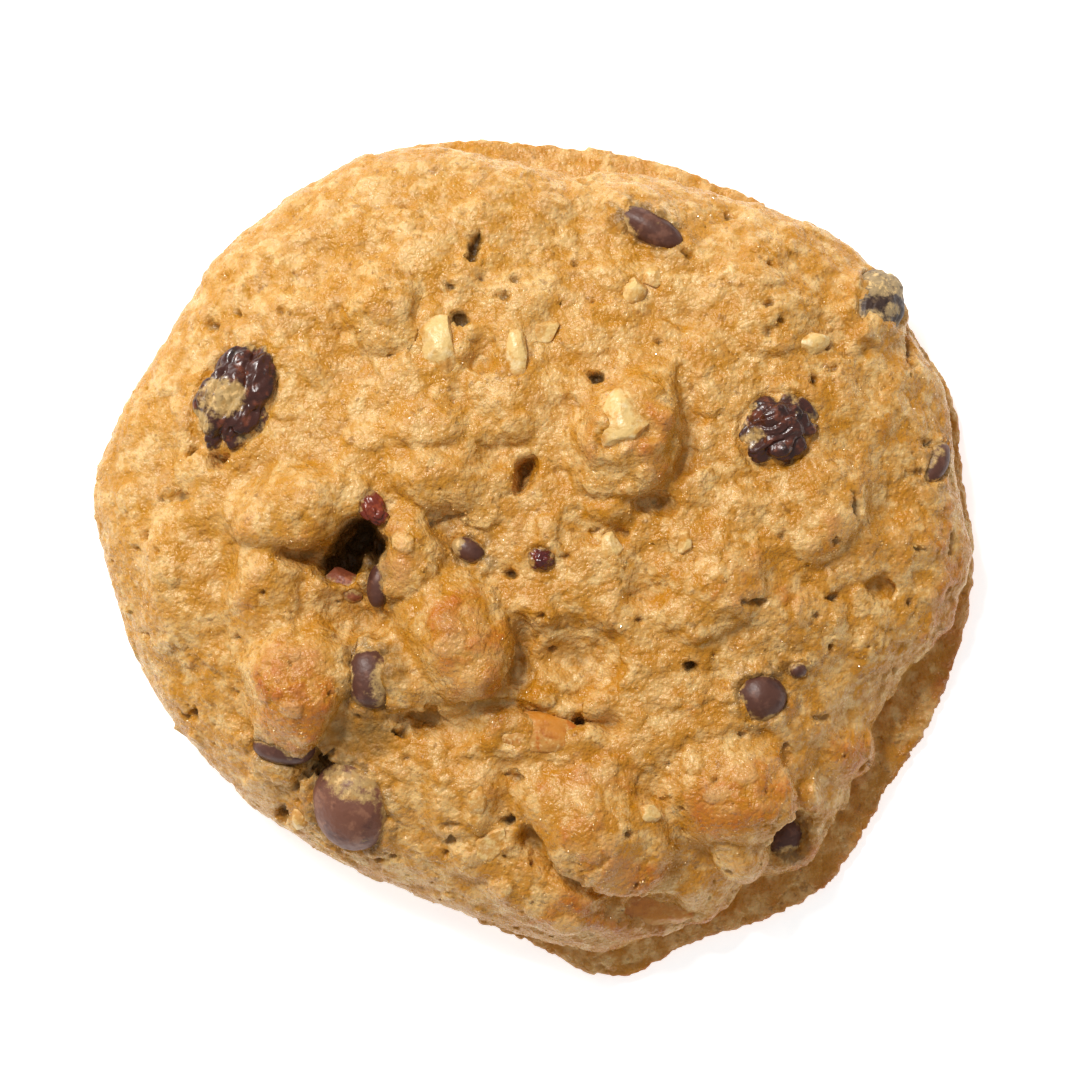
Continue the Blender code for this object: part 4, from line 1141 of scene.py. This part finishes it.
def make_dough_material():
    """Golden oat dough: cream oats and amber glaze, toasted on its peaks, sandy in its hollows, with painted
    shade in hollows, creases and pits and on the side away from the key light, and painted light on the side
    facing it.
    """
    material, nodes, shader = new_material("baked_dough")
    place = nodes.add("TexCoord").outputs["Object"]
    moved = [nodes.shifted(place, (0.31 * k, 0.17 * k, 0.05)) for k in range(1, 7)]
    toast, recess, fair, pale, pooled, oat, smear, pit = map(
        nodes.attribute, ("toast", "recess", "fair", "pale", "pooled", "oat", "smear", "pit"))

    def lay(over, colour, share, strength):
        """Lays one colour over another."""
        return nodes.mix(nodes.times(share, strength), colour, over)

    def patch(over, colour, where, scale, low, high, share, detail=2.0, rough=0.62):
        """Lays it on in patches about 1 / scale of a metre across."""
        return lay(over, colour, nodes.span(nodes.noise(where, scale, detail, rough), low, high), share)

    specks = nodes.cells(place, 1500.0)
    colour = patch(HONEY, TAN, moved[4], 130.0, 0.4, 0.62, 0.9, 3.0)
    # Painted light: a fairer tan on the side that faces the key light.
    colour = lay(LIT_SIDE_TAN, colour, fair, 0.75)
    # Toast on the peaks and browned places, with painted shade on the side away from the key light.
    browning_and_shade = nodes.math("ADD", toast, nodes.math("SUBTRACT", nodes.noise(moved[2], 260.0, 3.0, 0.5), 0.5))
    colour = lay(TOASTED, colour, nodes.span(browning_and_shade, 0.25, 0.85), 0.85)
    colour = lay(DEEP_TOAST, colour, nodes.span(browning_and_shade, 0.8, 1.15), 0.6)
    # Sandy crumb in the hollows, darker there also as painted shade.
    colour = lay(SANDY, colour, nodes.span(recess, 0.2, 0.7), 0.8)
    plain = nodes.span(browning_and_shade, 0.4, 0.95, 1.0, 0.25)
    # The glaze colour is lighter gold on the side facing the key light: painted light.
    gold = nodes.mix(fair, AMBER, LIT_SIDE_GOLD)
    colour = patch(gold, colour, place, 330.0, 0.42, 0.62, nodes.times(plain, 0.85), 2.0, 0.5)
    # Amber in the grain's creases: pooled glaze, and painted shade there.
    colour = lay(gold, colour, pooled, nodes.span(nodes.noise(moved[0], 240.0), 0.36, 0.6, 0.3, 0.9))
    colour = lay(CREAM, colour, pale, nodes.span(browning_and_shade, 1.0, 0.3, 0.25, 0.85))
    colour = lay(CREAM, colour, oat, 0.55)
    colour = patch(CREAM, colour, moved[1], 420.0, 0.47, 0.64, nodes.times(plain, 0.7), 4.0, 0.55)
    colour = patch(gold, colour, moved[5], 800.0, 0.48, 0.62, nodes.times(plain, 0.6))
    dull = nodes.span(nodes.noise(moved[3], 500.0), 0.35, 0.6, 0.25, 0.7)
    # Painted shade: olive darkening in the deepest hollows.
    colour = lay(SHADE_OLIVE, colour, nodes.span(recess, 0.55, 1.0), dull)
    # Amber along the fine cells' creases: glaze, and painted shade there.
    colour = nodes.mix(nodes.span(specks, 0.5, 0.8, 0.0, 0.2), colour, AMBER)
    height_up = nodes.add("SeparateXYZ", {"Vector": place}).outputs["Z"]
    colour = lay(TOASTED, colour, nodes.span(height_up, 2.5 * MM, 0.0), 0.35)
    colour = patch(BRAN, colour, place, 800.0, 0.64, 0.7, 0.35)
    smeared = nodes.times(smear, nodes.span(nodes.noise(place, 700.0), 0.4, 0.6))
    colour = lay(COCOA, colour, smeared, 0.6)
    # Painted shade: the deep hollows and the pores are painted near black-brown.
    colour = lay(PIT_SHADE, colour, pit, 0.8)
    grain = nodes.group(GRAIN, {"Size": 0.45, "Rough Low": 0.14, "Rough High": 0.44})
    height = nodes.math("SUBTRACT", grain["Height"], nodes.times(specks, 0.7))
    matte = nodes.math("MAXIMUM", grain["Roughness"], nodes.span(recess, 0.1, 0.7, 0.1, 0.5))
    finish_shader(nodes, shader, colour, matte, height, 0.2)
    set_constants(shader, {"Specular IOR Level": 0.5, "Subsurface Weight": 0.2,
                           "Subsurface Radius": (1.0, 0.62, 0.28), "Subsurface Scale": 1.1 * MM})
    return material


DOUGH = make_dough_material()
print("the dough's material has", len(DOUGH.node_tree.nodes), "nodes")

# %% [markdown]
# ## Finishes of the pieces
#
# The pieces share one recipe with other values: a colour that drifts in patches, a grain, a
# roughness and a coat. Dough clings to the lower edge of each, where it was pushed in.

# %% Finishes of the pieces
def make_finish(name, base, darker, lighter, patch, grain_size, roughness, bump_mm, coat=0.0,
                crumb=DUST, crumb_dark=SANDY):
    """A mottled, grained material for one kind of piece, with dough clinging to its lower edge."""
    material, nodes, shader = new_material(name)
    place = nodes.add("TexCoord").outputs["Object"]
    colour = nodes.group(MOTTLE, {"Color": srgb(*base), "Darker": srgb(*darker),
                                  "Lighter": srgb(*lighter), "Size": patch})["Color"]
    grain = nodes.group(GRAIN, {"Size": grain_size, "Rough Low": roughness[0], "Rough High": roughness[1]})
    uneven = nodes.math("SUBTRACT", nodes.noise(place, 420.0, 8.0, 0.75), 0.5)
    edge = nodes.math("ADD", nodes.attribute("cover"), nodes.times(uneven, 5.0))
    cover = nodes.times(nodes.span(edge, 0.5, 1.3), 0.92)
    crumbs = nodes.group(MOTTLE, {"Color": crumb, "Darker": crumb_dark, "Lighter": CREAM, "Size": 1.2})
    colour = nodes.mix(cover, colour, crumbs["Color"])
    rough = nodes.math("MAXIMUM", grain["Roughness"], nodes.times(cover, 0.65))
    finish_shader(nodes, shader, colour, rough, grain["Height"], bump_mm)
    coat_share = nodes.times(nodes.math("SUBTRACT", 1.0, cover), coat)
    nodes.tree.links.new(coat_share, shader.inputs["Coat Weight"])
    set_constants(shader, {"Coat Roughness": 0.12})
    return material


# material, its colour, a darker and a lighter one, the size of their patches and of the grain,
# the roughness from and to, the bump, the coat, and the two colours of the dough that clings to it
FINISHES = {
    "raisin": ("raisin_skin", (72, 34, 24), (40, 18, 14), (120, 62, 38), 2.4, 0.5, (0.18, 0.42), 0.06, 0.4),
    "raisin_buried": ("dusted_raisin", (66, 46, 38), (40, 26, 22), (110, 88, 68), 1.4, 0.5, (0.35, 0.6),
                      0.08, 0.0, PALE_DUST, GREY_DUST),
    "fruit": ("fruit_skin", (122, 44, 20), (82, 24, 12), (156, 70, 34), 1.8, 0.4, (0.15, 0.35), 0.05, 0.5),
    "cherry": ("cherry_skin", (92, 26, 22), (58, 14, 14), (130, 44, 34), 1.6, 0.4, (0.15, 0.3), 0.04, 0.5),
    "chip": ("milk_chocolate", (96, 60, 48), (78, 46, 38), (122, 82, 66), 2.6, 0.4, (0.34, 0.52), 0.03),
    "chip_big": ("bloomed_chocolate", (124, 80, 62), (98, 60, 50), (150, 104, 80), 2.4, 0.4, (0.4, 0.6),
                 0.04),
    "nut": ("nut_flesh", (230, 196, 130), (212, 160, 80), (240, 214, 164), 1.8, 0.4, (0.28, 0.5), 0.08,
            0.1, TAN, AMBER),
    "pecan": ("pecan_skin", (150, 84, 56), (110, 54, 36), (176, 110, 74), 1.6, 0.4, (0.35, 0.55), 0.05),
    "caramel": ("baked_caramel", (204, 134, 46), (176, 102, 28), (214, 156, 78), 3.0, 0.6, (0.2, 0.42), 0.08,
                0.3, TAN, TOASTED),
}


def make_sugar():
    """Clear crystals that take the colour of the glaze they lie in."""
    material, _, shader = new_material("sugar_crystal")
    set_constants(shader, {"Base Color": srgb(224, 178, 104), "Roughness": 0.12,
                           "Specular IOR Level": 0.9, "Coat Weight": 0.5})
    return material


MATERIALS = {kind: make_finish(*finish) for kind, finish in FINISHES.items()}
SUGAR = make_sugar()
print("materials:", len(bpy.data.materials))

# %% [markdown]
# ## Dressing the pieces
#
# Dough clings to each piece, most at its lower edge. How far each point of a piece stands out of the
# dough gives that cover, and a few smears are laid one by one. Then each piece rides on the cookie
# and stands for its imported solid.

# %% Dressing the pieces
points = (read_points(dough.data) + PLAN_SHIFT) * MM
write_points(dough.data, points)
faces = [tuple(face.vertices) for face in dough.data.polygons]
dough_tree = BVHTree.FromPolygons([tuple(point) for point in points], faces)
SLOTS = {"fruit": "raisin", "chip": "chocolate"}     # the others have the first word of a name
COVERED = {"nut_pale": 0.6, "nut_cluster": 0.9, "nut": 1.3, "cherry": 1.1}     # mm that dough clings up
USUALLY_COVERED = 0.7
# more dough on a piece: x, y, half length, half width, turn
SMEARS = {
    "raisin_left": [(-33.6, 17.0, 2.4, 2.1, 0), (-36.2, 14.3, 1.6, 1.4, 0)],
    "raisin_right": [(23.2, 12.6, 1.6, 0.9, 30)],
    "raisin_buried": [(37.6, 29.6, 3.4, 1.6, 0), (35.6, 22.8, 2.6, 1.3, 20), (33.2, 27.6, 1.2, 3.0, 0),
                      (38.6, 26.6, 0.9, 0.8, 0)],
    "chip_big": [(-18.8, -24.0, 3.6, 2.5, -20), (-15.4, -28.6, 1.0, 2.6, 10)],
    "chip_mid": [(-15.6, -12.9, 1.6, 3.2, 0)],
    "chip_neck": [(-8.6, 1.4, 0.9, 1.6, 0)],
    "caramel_slab": [(0.6, -20.2, 5.0, 0.9, 0), (-4.0, -18.8, 1.0, 1.6, 0), (4.4, -18.6, 0.9, 1.4, 0)],
    "caramel_lip": [(12.0, -40.0, 6.0, 0.9, -8), (17.2, -38.6, 1.0, 1.6, 0)],
    "nut_pale": [(-9.0, 20.2, 1.6, 1.0, 30)],
    "nut_cluster": [(6.6, 13.6, 1.3, 2.4, 0), (13.0, 12.2, 1.3, 2.4, 40), (9.4, 10.8, 2.4, 0.9, 0)],
}
dress(dough, DOUGH, "dough", "dough")
dress(sugar, SUGAR, "dough")
sugar.data.shade_flat()
for name, piece in made.items():
    height = []
    for point in read_points(piece.data):
        spot, normal, _, far = dough_tree.find_nearest(Vector(point))
        height.append(math.copysign(far / MM, (Vector(point) - spot).dot(normal)))
    cover = 1 - ramp(np.array(height), 0.05, look_up(COVERED, name, USUALLY_COVERED))
    flat = read_points(piece.data) / MM - PLAN_SHIFT
    for spot in SMEARS.get(name, []):
        reach, _ = oval(flat[:, 0], flat[:, 1], spot)
        cover = np.maximum(cover, 1.4 * ramp(2.4 - reach, 0.0, 2.4))
    paint(piece.data, "cover", cover)
    dress(piece, look_up(MATERIALS, name), look_up(SLOTS, name, name.split("_")[0]), name)
print("dressed:", len(made) + 2, "pieces in", len(MATERIALS) + 2, "finishes")

# %% [markdown]
# ## Floor, light and camera
#
# A white sweep, a large soft light high on the left, a small one for glints and an even sky around:
# a studio set for food. The camera looks straight down.

# %% Floor, light and camera
FRAME_WIDTH = 118.0 * MM
LOOK_AT = Vector(((0.57 + PLAN_SHIFT[0]) * MM, (1.78 + PLAN_SHIFT[1]) * MM, 5.0 * MM))
CAMERA_DISTANCE = 0.55
SENSOR = 36.0
FLOOR_HALF = 1.5
FLOOR_GAP = 0.05 * MM      # the floor lies just under the cookie, so that no two faces fall together
WARM_WHITE = (1.0, 0.985, 0.96)

floor_mesh = bpy.data.meshes.new("floor")
plane = bmesh.new()
bmesh.ops.create_grid(plane, x_segments=1, y_segments=1, size=FLOOR_HALF)
plane.to_mesh(floor_mesh)
plane.free()
floor = add_object("floor", floor_mesh)
floor.location.z = -FLOOR_GAP
floor_material, _, floor_shader = new_material("white_sweep")
set_constants(floor_shader, {"Base Color": (0.95, 0.95, 0.95, 1), "Emission Color": (0.93, 0.97, 1, 1),
                             "Emission Strength": 0.6, "Roughness": 0.9, "Specular IOR Level": 0.1})
floor_mesh.materials.append(floor_material)
floor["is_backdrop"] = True


def soft_light(name, place, size, power, colour):
    """A square area light aimed at the cookie."""
    data = bpy.data.lights.new(name, "AREA")
    data.size = size
    data.energy = power
    data.color = colour
    light = add_object(name, data)
    light.location = place
    light.rotation_euler = (LOOK_AT - Vector(place)).to_track_quat("-Z", "Y").to_euler()


soft_light("key", place=(-0.36, 0.48, 0.6), size=0.34, power=4.05, colour=WARM_WHITE)
soft_light("spark", place=(-0.24, 0.4, 0.72), size=0.07, power=2.4, colour=(1.0, 0.98, 0.95))
world = bpy.data.worlds.new("studio")
world.use_nodes = True
set_constants(world.node_tree.nodes["Background"], {"Color": (*WARM_WHITE, 1), "Strength": 0.44})
bpy.context.scene.world = world
bpy.context.scene.view_settings.view_transform = "Standard"
bpy.context.scene.view_settings.gamma = 0.92

camera_data = bpy.data.cameras.new("camera")
camera_data.sensor_width = SENSOR
camera_data.lens = SENSOR * CAMERA_DISTANCE / FRAME_WIDTH
camera_data.clip_start, camera_data.clip_end = 0.05, 5.0
camera = add_object("camera", camera_data)
camera.location = LOOK_AT + Vector((0, 0, CAMERA_DISTANCE))
bpy.context.scene.camera = camera
print("camera lens, mm:", round(camera_data.lens, 1))

# %% [markdown]
# ## Sizes and the end
#
# The dressed cookie has to fill the same box as the solids, so its box is printed.

# %% Sizes and the end
low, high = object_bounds()
print("dressed box, mm:", [round(s / MM, 2) for s in high - low])
